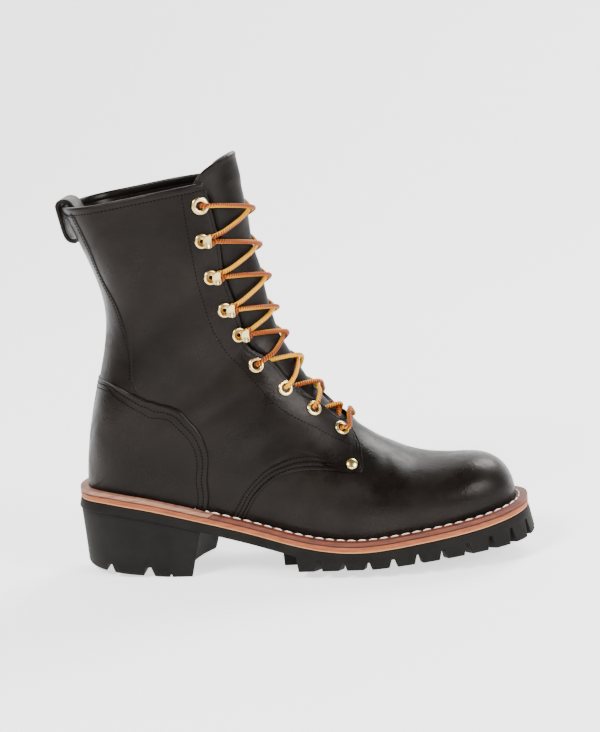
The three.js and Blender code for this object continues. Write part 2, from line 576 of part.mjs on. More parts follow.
// Tread: the forefoot is flat under the ball, springs at the toe and rounds up sideways
const TOE_SPRING = 14.5;
const HEEL_LIFT = 5.5;
const sheetTop = (x) => seat(x) - MIDSOLE_THICK - GAP;
const sheetLow = (x) => sheetTop(x) - SHEET_THICK;
const TREAD_MIDDLE = 0.03 * BALL_WIDTH;
const BLOCK_REACH = 0.20 * BALL_WIDTH;
const forefootTread = (x, y) => TOE_SPRING * clamp01((shareOf(x) - 0.67) / 0.37) ** 1.3
  + CROWN * (Math.max(0, Math.abs(y - TREAD_MIDDLE) - BLOCK_REACH) / (0.33 * BALL_WIDTH)) ** 1.5;
const sheet = layer(sheetTop, sheetLow, evenly(WELT_WIDE), evenly(WELT_WIDE + SHEET_FLARE));

// Lugs stand along the edge of the sheet, both ways round from the toe's tip
const EDGE_LOOP = planLoop(4).map(({ place, away }) => ({
  place: place.clone().addScaledVector(away, WELT_WIDE + SHEET_FLARE - GAP), away,
}));
const EDGE_HALF = EDGE_LOOP.length / 2;
function edgePlace(side, length) {
  let run = 0;
  for (let i = 0; i < EDGE_HALF; i++) {
    const a = EDGE_LOOP[(side * i + EDGE_LOOP.length) % EDGE_LOOP.length];
    const b = EDGE_LOOP[(side * (i + 1) + EDGE_LOOP.length) % EDGE_LOOP.length];
    const step = a.place.distanceTo(point(b.place.x, b.place.y, a.place.z));
    if (run + step >= length) {
      const t = (length - run) / step;
      return { place: a.place.clone().lerp(b.place, t), away: a.away.clone().lerp(b.away, t).normalize() };
    }
    run += step;
  }
  return EDGE_LOOP[EDGE_HALF];
}
function lug(side, middle) {
  const ring = (half, out, deep, heightAt) => {
    const a = edgePlace(side, middle - half);
    const b = edgePlace(side, middle + half);
    const at = (e, grow) => {
      const moved = e.place.clone().addScaledVector(e.away, grow);
      return moved.setZ(heightAt(moved.x, moved.y));
    };
    return [at(a, out), at(b, out), at(b, -deep), at(a, -deep)];
  };
  const top = ring(LUG_PITCH / 2 - 0.5, 0, LUG_DEEP, (x) => sheetLow(x) + 1);
  const low = ring((LUG_PITCH - NOTCH_WIDE) / 2, LUG_FLARE, LUG_DEEP - 1.5, forefootTread);
  return loft([top, low]);
}
const LUG_END = along(0.475);
let outsole = sheet;
for (const side of [1, -1]) {
  for (let k = 0; edgePlace(side, (k + 0.5) * LUG_PITCH).place.x > LUG_END; k++) {
    outsole = outsole.add(lug(side, (k + 0.5) * LUG_PITCH));
  }
}

// Blocks down the middle of the tread, in pairs that lean like a herringbone
const BLOCK_LONG = 11;
const BLOCK_PITCH = 19;
for (let x = along(0.495); x < along(0.93); x += BLOCK_PITCH) {
  for (const side of [-1, 1]) {
    const wide = BLOCK_REACH * Math.min(1, (along(1.02) - x) / (0.2 * UPPER_LENGTH));
    const ring = (grow, heightAt) => [[-1, 1], [1, 1], [1, wide], [-1, wide]].map(([turn, y]) => {
      const place = point(x + turn * (BLOCK_LONG / 2 + grow) - 0.35 * y, TREAD_MIDDLE + side * y, 0);
      return place.setZ(heightAt(place.x, place.y));
    });
    outsole = outsole.add(loft([ring(0.6, (px) => sheetLow(px) + 1), ring(-0.3, forefootTread)]));
  }
}

// The heel: tapers to the floor, its breast hollow in plan and leaning
const HEEL_FLAT = 57;
const HEEL_RISE_LONG = 65;
const heelTread = (x) => HEEL_LIFT * (HEEL_BACK + HEEL_FLAT - x) / HEEL_RISE_LONG;
const breastHalf = 0.33 * BALL_WIDTH;
const heelBlock = layer((x) => sheetLow(x) - GAP, heelTread, evenly(WELT_WIDE + 0.5),
  (away) => WELT_WIDE + 0.5 - HEEL_TAPER * Math.abs(away.y) - 1.2 * Math.abs(away.x));
const behindBreast = loft(steps(-1.6, 1.6, 12).map((t) => {
  const y = t * breastHalf;
  const x = HEEL_BACK - WELT_WIDE + HEEL_LONG + BREAST_SWING * (t + 1) / 2 - BREAST_HOLLOW * (1 - t * t);
  const lean = BREAST_LEAN / HEEL_SEAT;
  const [foot, head] = [x - FAR * lean, x + FAR * lean];
  return [point(foot, y, -FAR), point(head, y, FAR), point(-FAR, y, FAR), point(-FAR, y, -FAR)];
}));
// Grooves across the heel's tread: place before the heel's back, width at the floor, depth
const HEEL_GROOVES = [
  { x: 14, wide: 6.5, deep: 6 }, { x: 42, wide: 8, deep: 6.5 }, { x: 57.4, wide: 2.4, deep: 2.2 },
];
let heel = heelBlock.intersect(behindBreast).subtract(block(() => -FAR, () => 0));
for (const groove of HEEL_GROOVES) {
  const x = HEEL_BACK + groove.x;
  const floor = Math.max(0, heelTread(x));
  heel = heel.subtract(loft([-FAR, FAR].map((y) => [point(x - groove.wide / 2 - 1, y, floor - 3),
    point(x + groove.wide / 2 + 1, y, floor - 3), point(x + groove.wide / 4, y, floor + groove.deep),
    point(x - groove.wide / 4, y, floor + groove.deep)])));
}

// Brass: eyelets with a rolled flange and a barrel, speed hooks and rivets
const FACE = QUARTER_STEP + 2 * GAP;
function eyelet(row, side) {
  const out = row.wide / 2;
  const bore = EYELET_HOLE / 2;
  const profile = [
    [bore, -WALL - 4 * GAP], [BARREL, -WALL - 4 * GAP], [BARREL, 0], [out, 0], [out - 0.4, 0.8],
    [out - 1.8, 1.3], [bore, 0.7], [bore, -WALL - 4 * GAP],
  ];
  const turned = new THREE.LatheGeometry(profile.map(([r, h]) => new THREE.Vector2(r, h)), 8);
  return placed(turned.rotateX(Math.PI / 2), placeOn(row.at, row.down, side, FACE));
}
function hook(row, side) {
  const base = new THREE.CylinderGeometry(HOOK_BASE / 2 - 0.4, HOOK_BASE / 2, HOOK_METAL, 10);
  const t = HOOK_METAL;
  const h = HOOK_TALL;
  const outline = [
    [1.8, 0.4], [5.1, 0.6], [5.6, 0.42 * h], [5.2, 0.72 * h], [4.0, 0.92 * h], [1.8, h], [0, 0.96 * h],
    [-1, 0.84 * h], [-0.2, 0.88 * h - t], [1.8, h - t], [3.2, 0.9 * h - t], [4.1, 0.55 * h], [3.8, t],
    [1.8, t],
  ];
  const shape = new THREE.Shape(outline.map(([x, z]) => new THREE.Vector2(x, z)));
  const curl = new THREE.ExtrudeGeometry(shape, { depth: 0.8 * HOOK_BASE, bevelEnabled: false });
  curl.translate(0, 0, -0.4 * HOOK_BASE).rotateX(Math.PI / 2);
  const frame = placeOn(row.at, row.down, side, FACE);
  return placed(base.rotateX(Math.PI / 2).translate(0, 0, t / 2), frame).add(placed(curl, frame));
}
const RIVET = { at: 0.275, down: 0.270 };
function rivet(side) {
  const r = RIVET_OUT / 2;
  const dome = [[0, 0], [r, 0], [0.96 * r, 0.5], [0.7 * r, 1.3], [0.35 * r, 1.7], [0, 1.8]];
  const turned = new THREE.LatheGeometry(dome.map(([x, z]) => new THREE.Vector2(x, z)), 12);
  return placed(turned.rotateX(Math.PI / 2), placeOn(RIVET.at, RIVET.down, side, FACE));
}

// The lace: a bar across the lowest eyelets, then a crossing from each pair to the next
const LACE_OVER = QUARTER_STEP + LACE_ROUND / 2 + 2 * GAP;
const LACE_MID = LACE_ROUND / 2 - WALL + 2 * GAP;
function downAt(at, y, side) {
  let low = 0;
  let high = last.belly(at);
  for (let i = 0; i < 30; i++) {
    const down = (low + high) / 2;
    if (side * lastPoint(at, down, side).y < side * y) low = down;
    else high = down;
  }
  return (low + high) / 2;
}
function atLevel(y, ridge, level) {
  let low = LACING[0].at * LAST_END - 3 * LACE_ROUND;
  let high = LAST_END;
  for (let i = 0; i < 30; i++) {
    const at = (low + high) / 2;
    const side = y < lastPoint(at, 0, 1).y ? -1 : 1;
    if (lastPoint(at, downAt(at, y, side), side).dot(ridge) < level) low = at;
    else high = at;
  }
  return (low + high) / 2;
}
function laceRun(from, to, fromSide, under, proud) {
  const start = lastPoint(from.at * LAST_END, from.down, fromSide);
  const end = lastPoint(to.at * LAST_END, to.down, -fromSide);
  const keep = (row) => (row.kind === 'hook' ? 8.8 : row.wide / 2 + LACE_ROUND / 2 + 2 * GAP);
  const long = start.distanceTo(end);
  const first = keep(from) / long;
  const edge = throatGap(to.at) * BALL_WIDTH - LACE_ROUND / 2 - 4 * GAP;
  const hidden = (frontMiddle(to.at * LAST_END) - fromSide * edge - start.y) / (end.y - start.y);
  const final = under ? hidden : 1 - keep(to) / long;
  const ridge = lastPoint(to.at * LAST_END, 0, 1).sub(lastPoint(from.at * LAST_END - 1, 0, 1)).normalize();
  const places = steps(first, final, 8).map((t) => {
    const y = mix(start.y, end.y, t);
    const at = atLevel(y, ridge, mix(start.dot(ridge), end.dot(ridge), t));
    const side = y < lastPoint(at, 0, 1).y ? -1 : 1;
    const down = downAt(at, y, side);
    const gap = throatGap(at / LAST_END) * BALL_WIDTH;
    const over = clamp01((Math.abs(y - frontMiddle(at)) - gap + 3.4 * LACE_ROUND / 2) / LACE_ROUND);
    const near = t > 0.5 && under ? 0 : over;
    return facetPoint(at, down, side).addScaledVector(lastNormal(at, down, side),
      mix(LACE_MID + proud, Math.max(LACE_OVER, LACE_MID + proud), near));
  });
  const section = new THREE.Shape([[1, 0], [0, 1], [-1, 0], [0, -1]].map(([x, y]) => new THREE.Vector2(
    x * LACE_ROUND / 2, y * LACE_ROUND / 2)));
  const path = new THREE.CatmullRomCurve3(places);
  return solidOf(new THREE.ExtrudeGeometry(section, { steps: 7, extrudePath: path, bevelEnabled: false }));
}
const LACES = { lace_bar: laceRun(LACING[0], LACING[0], -1, false, WALL + QUARTER_STEP) };
for (let k = 0; k + 1 < LACING.length; k++) {
  const under = LACING[k + 1].kind === 'eyelet' && k < 4;
  const proud = k === LACING.length - 2 ? 1.5 * GAP : GAP;
  LACES[`lace_cross_${k + 1}`] = laceRun(LACING[k], LACING[k + 1], -1, under, proud)
    .add(laceRun(LACING[k], LACING[k + 1], 1, under, proud));
}

// The boot
const group = new THREE.Group();
const LEATHER = { color: 0x2b2724, roughness: 0.55, metalness: 0 };
const BROWN = { color: 0xb5653f, roughness: 0.7, metalness: 0 };
const RUBBER = { color: 0x2a2925, roughness: 0.85, metalness: 0 };
const BRASS = { color: 0xcdb98a, roughness: 0.3, metalness: 1 };
const LACE = { color: 0xd9932f, roughness: 0.8, metalness: 0 };
function put(name, made, finish) {
  const { numProp, vertProperties, triVerts } = made.getMesh();
  const geometry = new THREE.BufferGeometry();
  const positions = new Float32Array(vertProperties.length / numProp * 3);
  for (let i = 0; i < positions.length / 3; i++) {
    for (let k = 0; k < 3; k++) positions[3 * i + k] = vertProperties[numProp * i + k];
  }
  geometry.setAttribute('position', new THREE.BufferAttribute(positions, 3));
  geometry.setIndex(new THREE.BufferAttribute(new Uint32Array(triVerts), 1));
  const mesh = new THREE.Mesh(geometry, new THREE.MeshStandardMaterial(finish));
  mesh.name = name;
  group.add(mesh);
}
put('outsole', outsole, RUBBER);
put('heel', heel, RUBBER);
put('midsole', midsole, BROWN);
put('welt', welt, BROWN);
put('heel_rand', heelRand, BROWN);
put('insole', insole, { color: 0xb89a72, roughness: 0.8, metalness: 0 });
put('upper', upper, LEATHER);
put('counter', counter, LEATHER);
put('backstay', backstay, LEATHER);
put('tongue', tongue, LEATHER);
put('collar_binding', binding, LEATHER);
put('pull_loop', pullLoop, LEATHER);
for (const [turn, word] of [[-1, 'lat'], [1, 'med']]) {
  let eyelets = 0;
  let hooks = 0;
  for (const row of LACING) {
    if (row.kind === 'eyelet') put(`eyelet_${word}_${++eyelets}`, eyelet(row, turn), BRASS);
    else put(`hook_${word}_${++hooks}`, hook(row, turn), BRASS);
  }
  put(`rivet_${word}`, rivet(turn), BRASS);
}
for (const [name, run] of Object.entries(LACES)) put(name, run, LACE);

export default group;
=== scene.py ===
import bpy
import mathutils
import numpy as np
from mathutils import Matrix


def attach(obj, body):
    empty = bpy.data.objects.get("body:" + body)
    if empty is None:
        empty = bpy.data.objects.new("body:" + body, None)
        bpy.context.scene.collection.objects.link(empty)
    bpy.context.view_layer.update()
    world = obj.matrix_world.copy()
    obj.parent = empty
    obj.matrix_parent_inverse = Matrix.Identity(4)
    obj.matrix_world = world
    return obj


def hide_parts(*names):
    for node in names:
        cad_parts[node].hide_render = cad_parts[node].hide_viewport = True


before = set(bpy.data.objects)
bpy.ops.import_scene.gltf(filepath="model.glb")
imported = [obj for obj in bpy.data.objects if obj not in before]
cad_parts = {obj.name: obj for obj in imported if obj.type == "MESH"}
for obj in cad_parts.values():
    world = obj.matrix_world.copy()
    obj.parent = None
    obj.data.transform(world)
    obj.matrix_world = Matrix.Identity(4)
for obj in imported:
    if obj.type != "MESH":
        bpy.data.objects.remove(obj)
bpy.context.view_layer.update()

# The vamp: one piece of oiled black leather, pulled wet over a last and held all round by
# the welt. The last is the shape that every leather of the boot is cut to, so its sizes
# and sections come first. Lengths are millimetres until a mesh is made.
UPPER_LENGTH = 296.0
BALL_WIDTH = 98.0
SHAFT_RISE = 230.0
HEEL_BACK = -62.0
HEEL_ROUND = 34.0
TOE_LIP = 4.0
HEEL_SEAT = 58.6
LEATHER = 2.2


def curve(knots, values):
    """A natural cubic through (knots, values), read at any array of places."""
    k, v = np.asarray(knots, float), np.asarray(values, float)
    h, n = np.diff(k), len(k)
    system, pull = np.eye(n), np.zeros(n)
    i = np.arange(1, n - 1)
    system[i, i - 1], system[i, i + 1] = h[:-1], h[1:]
    system[i, i] = 2 * (h[:-1] + h[1:])
    pull[1:-1] = 6 * (np.diff(v)[1:] / h[1:] - np.diff(v)[:-1] / h[:-1])
    bend = np.linalg.solve(system, pull)

    def read(at):
        at = np.asarray(at, float)
        j = np.clip(np.searchsorted(k, at) - 1, 0, n - 2)
        t = (at - k[j]) / h[j]
        s = 1 - t
        bow = ((s**3 - s) * bend[j] + (t**3 - t) * bend[j + 1]) * h[j]**2 / 6
        return s * v[j] + t * v[j + 1] + bow

    return read


def mix(a, b, t):
    return a + (b - a) * t


def ease(t):
    """0 to 1, flat at both ends: t squared times (3 - 2t)."""
    t = np.clip(t, 0, 1)
    return t * t * (3 - 2 * t)


def along(share):
    return HEEL_BACK + UPPER_LENGTH * share


def run_along(line):
    """Distance along a line of points, from its start."""
    return np.concatenate([[0], np.cumsum(np.linalg.norm(np.diff(line, axis=0), axis=1))])


def read_along(table, run, at):
    """Points of a table, given at distances `run`, read at other distances."""
    return np.stack([np.interp(at, run, table[:, k]) for k in range(3)], -1)


# Top of the midsole: x as a share of the upper's length, z as a share of the heel seat
SEAT = np.array([
    (-0.06, 0.985), (0.00, 1.000), (0.05, 1.000), (0.10, 0.965), (0.17, 0.890), (0.24, 0.800),
    (0.32, 0.690), (0.41, 0.560), (0.50, 0.440), (0.56, 0.390), (0.62, 0.368), (0.68, 0.378),
    (0.77, 0.428), (0.85, 0.475), (0.93, 0.530), (1.00, 0.590), (1.05, 0.635)])
seat_share = curve(SEAT[:, 0], SEAT[:, 1])


def seat(x):
    return HEEL_SEAT * seat_share((x - HEEL_BACK) / UPPER_LENGTH)


# Sections of the last, toe to collar: top and low point, the sideways place of both, the
# half widths at the belly and at the foot, how far down the belly is, and two powers.
LAST = np.array([
    # topx   topz    lowx    lowz   axis   ridge  lat    med    latft  medft  belly full sharp
    (1.000, 0.1740, 1.0000, 0.000, 0.040, 0.040, 0.520, 0.440, 0.490, 0.420, 0.72, 2.4, 2.10),
    (0.899, 0.1740, 0.8990, 0.000, 0.040, 0.050, 0.510, 0.445, 0.480, 0.420, 0.70, 2.4, 2.10),
    (0.794, 0.1950, 0.7940, 0.000, 0.035, 0.055, 0.505, 0.450, 0.480, 0.423, 0.70, 2.2, 2.00),
    (0.703, 0.2570, 0.6690, 0.000, 0.030, 0.055, 0.510, 0.455, 0.485, 0.423, 0.72, 2.0, 1.85),
    (0.642, 0.3170, 0.5840, 0.000, 0.020, 0.045, 0.480, 0.420, 0.450, 0.383, 0.74, 1.9, 1.75),
    (0.595, 0.3790, 0.5000, 0.000, 0.015, 0.035, 0.440, 0.370, 0.393, 0.306, 0.72, 1.9, 1.70),
    (0.534, 0.4760, 0.3885, 0.000, 0.010, 0.025, 0.385, 0.330, 0.337, 0.250, 0.64, 1.9, 1.70),
    (0.492, 0.5710, 0.2365, 0.000, 0.000, 0.015, 0.380, 0.360, 0.316, 0.296, 0.56, 1.9, 1.75),
    (0.472, 0.6420, 0.0040, 0.000, 0.000, 0.010, 0.390, 0.385, 0.316, 0.310, 0.52, 1.9, 1.75),
    (0.463, 0.7080, 0.0120, 0.102, 0.000, 0.005, 0.390, 0.390, 0.380, 0.380, 0.50, 1.9, 1.75),
    (0.453, 0.7780, 0.0380, 0.267, 0.000, 0.000, 0.390, 0.390, 0.390, 0.390, 0.50, 1.9, 1.75),
    (0.441, 0.8480, 0.0710, 0.4235, 0.000, 0.000, 0.385, 0.385, 0.385, 0.385, 0.50, 1.9, 1.75),
    (0.4345, 0.9200, 0.0825, 0.571, 0.000, 0.000, 0.398, 0.398, 0.398, 0.398, 0.50, 1.9, 1.75),
    (0.4284, 0.9920, 0.0550, 0.706, 0.000, 0.000, 0.408, 0.408, 0.408, 0.408, 0.50, 1.9, 1.75),
    (0.420, 1.0630, 0.0100, 0.852, 0.000, 0.000, 0.418, 0.418, 0.418, 0.418, 0.50, 1.9, 1.75),
    (0.4105, 1.1335, -0.0270, 0.967, 0.000, 0.000, 0.428, 0.428, 0.428, 0.428, 0.50, 1.9, 1.75)])
HEEL_ROW = 8
ends = LAST[:, :4] * ([UPPER_LENGTH, SHAFT_RISE] * 2)
knots = (run_along(ends[:, :2]) + run_along(ends[:, 2:])) / 2
LAST_END, CORNER, AFTER_CORNER = knots[-1], knots[HEEL_ROW], knots[HEEL_ROW + 1]
section = [curve(knots, LAST[:, k]) for k in range(LAST.shape[1])]
back_share = curve(LAST[HEEL_ROW:, 3], LAST[HEEL_ROW:, 2])


def back_line(z):
    return along(back_share(np.maximum(0, (z - HEEL_SEAT) / SHAFT_RISE)))


def round_end(share, start, taper, blunt):
    """1, falling to 0 at share 1 as a blunt round: (1 - t^taper)^(1/blunt)."""
    t = np.clip((share - start) / (1 - start), 0, 1)
    return (1 - t**taper)**(1 / blunt)


def last_point(at, v):
    """The last's surface. at is mm from the toe along the sections. v goes from -1, the
    outer featherline, over 0, the ridge, to 1, the inner one, and past 1 behind the heel."""
    at, v = np.broadcast_arrays(np.asarray(at, float), np.asarray(v, float))
    down = (1 - np.cos(np.pi * v)) / 2
    side = np.where(v < 0, -1.0, 1.0) * np.where(np.abs(v) > 1, -1.0, 1.0)
    f = [read(at) for read in section]
    top_x, sole_x = along(np.minimum(1, f[0])), along(np.minimum(1, f[2]))
    top_z = seat(top_x) + TOE_LIP + (f[1] * SHAFT_RISE - TOE_LIP) * round_end(f[0], 0.872, 2.5, 2)
    climb = np.clip((at - CORNER) / (AFTER_CORNER - CORNER), 0, 1)
    low_z = mix(seat(sole_x), HEEL_SEAT + f[3] * SHAFT_RISE, climb)
    low_x = np.where(at < CORNER, sole_x, back_line(low_z))
    x, z = mix(top_x, low_x, down), mix(top_z, low_z, down)
    plan = round_end(mix(f[0], f[2], down), 0.64, np.where(side < 0, 2.3, 2.8), 2.2)
    belly = np.where(side < 0, f[6], f[7]) * BALL_WIDTH
    foot = np.where(side < 0, f[8], f[9]) * BALL_WIDTH
    arch = belly * (1 - (1 - np.minimum(1, down / f[10]))**f[11])**(1 / f[12])
    tuck = mix(belly, foot, np.clip((down - f[10]) / (1 - f[10]), 0, 1)**2)
    half = np.where(down < f[10], arch, tuck)
    inward = np.clip((x - back_line(z)) / HEEL_ROUND, 0, 1)
    middle = mix(f[5], f[4], down) * BALL_WIDTH
    y = middle + side * half * plan * np.sqrt(1 - (1 - inward)**2)
    return np.stack([x, y, z], axis=-1)


def unit(a):
    return a / np.maximum(1e-9, np.linalg.norm(a, axis=-1, keepdims=True))


def last_normal(at, v):
    """Outward normal: the slope round the section crossed with the slope up the boot."""
    at, v = np.broadcast_arrays(np.asarray(at, float), np.asarray(v, float))
    lo, hi = np.maximum(0.02, at - 0.6), np.minimum(LAST_END, at + 0.6)
    ahead = last_point(hi, v) - last_point(lo, v)
    small = 0.012
    foot = at < CORNER
    right = np.where(foot, np.minimum(1, v + small), v + small)
    left = np.where(foot, np.maximum(-1, v - small), v - small)
    return unit(np.cross(last_point(at, right) - last_point(at, left), ahead))


def skin(at, v, lift):
    """A point `lift` mm off the last."""
    return last_point(at, v) + np.asarray(lift, float)[..., None] * last_normal(at, v)


# Soft troughs (-) and ridges (+) of a worn-in boot: place up the boot as a share of the
# sections, v, half length in v, then half width up the boot, height and slant in mm.
CREASES = [
    (0.222, -0.16, 0.20, 5.0, -0.30, 9), (0.196, -0.24, 0.22, 7.0, 0.28, 10),
    (0.165, -0.20, 0.24, 8.0, -0.24, 8), (0.224, 0.18, 0.20, 5.0, -0.30, -9),
    (0.190, 0.24, 0.22, 7.0, 0.25, -10), (0.352, -0.50, 0.13, 4.0, -0.35, -9),
    (0.392, -0.46, 0.14, 5.0, 0.40, -12), (0.430, -0.50, 0.16, 6.0, -0.70, -18),
    (0.478, -0.58, 0.17, 7.0, 0.60, -14), (0.522, -0.45, 0.15, 6.0, -0.75, -12),
    (0.566, -0.52, 0.17, 8.0, 0.55, -8), (0.612, -0.47, 0.16, 7.0, -0.60, 4),
    (0.668, -0.55, 0.19, 10.0, 0.45, 8), (0.440, 0.50, 0.16, 6.0, -0.70, 18),
    (0.500, 0.57, 0.17, 7.0, 0.60, 12), (0.560, 0.48, 0.16, 7.0, -0.75, 8),
    (0.625, 0.55, 0.18, 9.0, 0.50, -6), (0.742, -0.62, 0.20, 12.0, -0.60, 12),
    (0.660, -0.90, 0.07, 2.4, -0.80, 7), (0.800, -0.50, 0.20, 13.0, 0.40, 10),
    (0.760, 0.58, 0.20, 12.0, -0.60, -10)]
CREASE_DEPTH = 0.7


def crease(at, v):
    """The sum of the creases: each a soft bump across its width, fading to its ends."""
    total = np.zeros(np.broadcast(at, v).shape)
    for place, middle, half, wide, high, slant in CREASES:
        t = (v - middle) / half
        up = at - place * LAST_END - slant * t
        total += CREASE_DEPTH * high * np.exp(-(up / wide)**2) * np.exp(-t**2 * 1.2)
    return total


def around(down):
    """v for a share down the section."""
    return np.arccos(1 - 2 * np.asarray(down, float)) / np.pi


def on_skin(at, v, lift):
    """Points `lift` mm off the creased last."""
    return skin(at, v, lift + crease(at, v))


# Front and lower edge of the quarters: share along the sections, share down them
QUARTER_EDGE = np.array([
    (0.293, 0.000), (0.293, 0.030), (0.281, 0.051), (0.266, 0.091), (0.259, 0.174), (0.252, 0.245),
    (0.254, 0.300), (0.269, 0.338), (0.287, 0.362), (0.313, 0.395), (0.339, 0.446), (0.362, 0.509),
    (0.383, 0.588), (0.398, 0.658), (0.408, 0.738), (0.414, 0.809), (0.422, 1.000)])
edge_v = np.linspace(0, 1, 200)
edge_at = np.interp(edge_v, around(QUARTER_EDGE[:, 1]), QUARTER_EDGE[:, 0])
edge_at = np.convolve(np.pad(edge_at, 4, mode="edge"), np.ones(9) / 9, mode="valid") * LAST_END


def quarter_edge(v):
    return np.interp(np.abs(v), edge_v, edge_at)


PER_V = 135.0  # mm round the boot for 1 of v, as a mean
edge_slope = np.gradient(edge_at, edge_v * PER_V)


def from_quarter_edge(at, v):
    """Distance in mm square to the quarter's edge, from its distance up the boot."""
    slope = np.interp(np.abs(v), edge_v, edge_slope)
    return (at - quarter_edge(v)) / np.sqrt(1 + slope**2)


def grid_faces(rows, cols, wrap=False):
    """Quads of a grid of points, each row joined to the next. wrap joins last to first."""
    row, col = np.arange(rows - 1)[:, None] * cols, np.arange(cols if wrap else cols - 1)
    a, b = row + col, row + (col + 1) % cols
    return np.stack([a, b, b + cols, a + cols], -1).reshape(-1, 4)


def border(rows, cols):
    """Indices of the points round the edge of a grid, in order."""
    index = np.arange(rows * cols).reshape(rows, cols)
    return np.concatenate([index[0, :-1], index[:-1, -1], index[-1, :0:-1], index[:0:-1, 0]])


def slab(outer, inner, closed_start=False):
    """A closed sheet between two grids of the same size: both faces and four edges, or
    three where the first row is folded onto itself."""
    rows, cols = outer.shape[:2]
    face, rim, base = grid_faces(rows, cols), border(rows, cols), rows * cols
    after = np.roll(rim, -1)
    sides = np.stack([after, rim, rim + base, after + base], -1)[(cols - 1) * closed_start:]
    return (np.concatenate([outer.reshape(-1, 3), inner.reshape(-1, 3)]),
            np.concatenate([face, face[:, ::-1] + base, sides]))


def cord(rings):
    """A closed solid through rings of points, each end a fan to the middle of its ring."""
    count, n = rings.shape[:2]
    j = np.arange(n)
    after, last, hub = np.roll(j, -1), (count - 1) * n, 0 * j + count * n
    fans = [np.stack([after, j, hub, hub], -1),
            np.stack([j + last, after + last, hub + 1, hub + 1], -1)]
    middles = [rings[0].mean(axis=0), rings[-1].mean(axis=0)]
    return (np.concatenate([rings.reshape(-1, 3), middles]),
            np.concatenate([grid_faces(count, n, wrap=True), *fans]))


def gather(solids):
    """Several (points, faces) solids as one."""
    starts = np.cumsum([0] + [len(points) for points, _ in solids])
    return (np.concatenate([points for points, _ in solids]),
            np.concatenate([faces + start for (_, faces), start in zip(solids, starts)]))


def make(name, points, faces, finish, slot=None, stands_for=(), sharp=40, uv=None):
    """A mesh in metres from points in mm. Points that coincide are merged, faces that
    shrink to nothing are dropped, and edges over `sharp` degrees stay crisp. Where the
    volume, the sum of a . (b x c) / 6 over the faces, is below zero, all are turned."""
    points = np.asarray(points, float).reshape(-1, 3)
    _, first, same = np.unique(np.round(points, 3), axis=0, return_index=True, return_inverse=True)
    faces = same.reshape(-1)[np.asarray(faces)]
    a, b, c, d = (points[first][faces[:, k]] for k in range(4))
    if (a * (np.cross(b, c) + np.cross(c, d))).sum() < 0:
        faces = faces[:, ::-1]
        uv = None if uv is None else uv[:, ::-1]
    keep = np.ones(faces.shape, bool)
    keep[:, 1:] = faces[:, 1:] != faces[:, :-1]
    keep[:, 0] = faces[:, 0] != faces[:, -1]
    lengths = keep.sum(axis=1)
    crossed = (faces[:, 0] == faces[:, 2]) | (faces[:, 1] == faces[:, 3])
    good = (lengths >= 3) & ~crossed
    keep, lengths = keep[good], lengths[good]
    loops = faces[good][keep]
    mesh = bpy.data.meshes.new(name)
    mesh.vertices.add(len(first))
    mesh.vertices.foreach_set("co", (points[first] * 0.001).ravel())
    mesh.loops.add(len(loops))
    mesh.loops.foreach_set("vertex_index", loops.astype(np.int32))
    mesh.polygons.add(len(lengths))
    mesh.polygons.foreach_set("loop_start", (np.cumsum(lengths) - lengths).astype(np.int32))
    mesh.polygons.foreach_set("loop_total", lengths.astype(np.int32))
    if uv is not None:
        layer = mesh.uv_layers.new(name="UVMap")
        layer.data.foreach_set("uv", uv[good][keep].ravel())
    mesh.update(calc_edges=True)
    mesh.validate()
    mesh.polygons.foreach_set("use_smooth", np.ones(len(mesh.polygons), bool))
    mesh.set_sharp_from_angle(angle=np.radians(sharp))
    piece = bpy.data.objects.new(name, mesh)
    bpy.context.scene.collection.objects.link(piece)
    mesh.materials.append(finish)
    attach(piece, "root")
    if stands_for:
        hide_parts(*stands_for)
    return piece


def new_finish(name, colour, roughness, **sockets):
    """A material, a function that sets or links sockets of its shader, and one that adds a
    node and gives back one of its outputs."""
    finish = bpy.data.materials.new(name)
    finish.use_nodes = True
    nodes, links = finish.node_tree.nodes, finish.node_tree.links

    def wire(node, values):
        for key, value in values.items():
            socket = node.inputs[int(key[1:]) if key[1:].isdigit() else key.replace("_", " ")]
            if isinstance(value, bpy.types.NodeSocket):
                links.new(value, socket)
            else:
                socket.default_value = value

    def add(kind, settings=(), out=0, **values):
        node = nodes.new(kind)
        for key, value in dict(settings).items():
            setattr(node, key, value)
        wire(node, values)
        return node.outputs[out]

    def coat(**values):
        wire(nodes["Principled BSDF"], values)

    coat(**{"Base_Color": (*colour, 1), "Roughness": roughness, "Specular_IOR_Level": 0.4,
            **sockets})
    return finish, coat, add


def noise(add, place, scale, detail, rough=0.5, distortion=0.0):
    return add("ShaderNodeTexNoise", Vector=place, Scale=scale, Detail=detail, Roughness=rough,
               Distortion=distortion)


def spread(add, value, low, high, to_low=0.0, to_high=1.0):
    """A value's range low to high, mapped to another range and clamped."""
    return add("ShaderNodeMapRange", Value=value, From_Min=low, From_Max=high, To_Min=to_low,
               To_Max=to_high)


def dents(add, height, strength, distance, **under):
    """A bump from a height socket, on top of the one given as Normal."""
    return add("ShaderNodeBump", Strength=strength, Distance=distance, Height=height, **under)


def shades(add, factor, stops):
    """A colour ramp over (place, colour) stops, driven by a factor socket."""
    shade = add("ShaderNodeValToRGB", Fac=factor)
    ramp = shade.node.color_ramp.elements
    while len(ramp) < len(stops):
        ramp.new(0.5)
    for element, (place, colour) in zip(ramp, stops):
        element.position = place
        element.color = (*colour, 1)
    return shade


def towards_rim(add, colour, rim, low, high, to_low, to_high):
    """A colour that turns to `rim` as the piece's own V goes from low to high."""
    place = add("ShaderNodeTexCoord", out="UV")
    up = add("ShaderNodeSeparateXYZ", Vector=place, out="Y")
    share = spread(add, up, low, high, to_low, to_high)
    return add("ShaderNodeMix", {"data_type": "RGBA"}, 2, _0=share, _6=colour, _7=(*rim, 1))


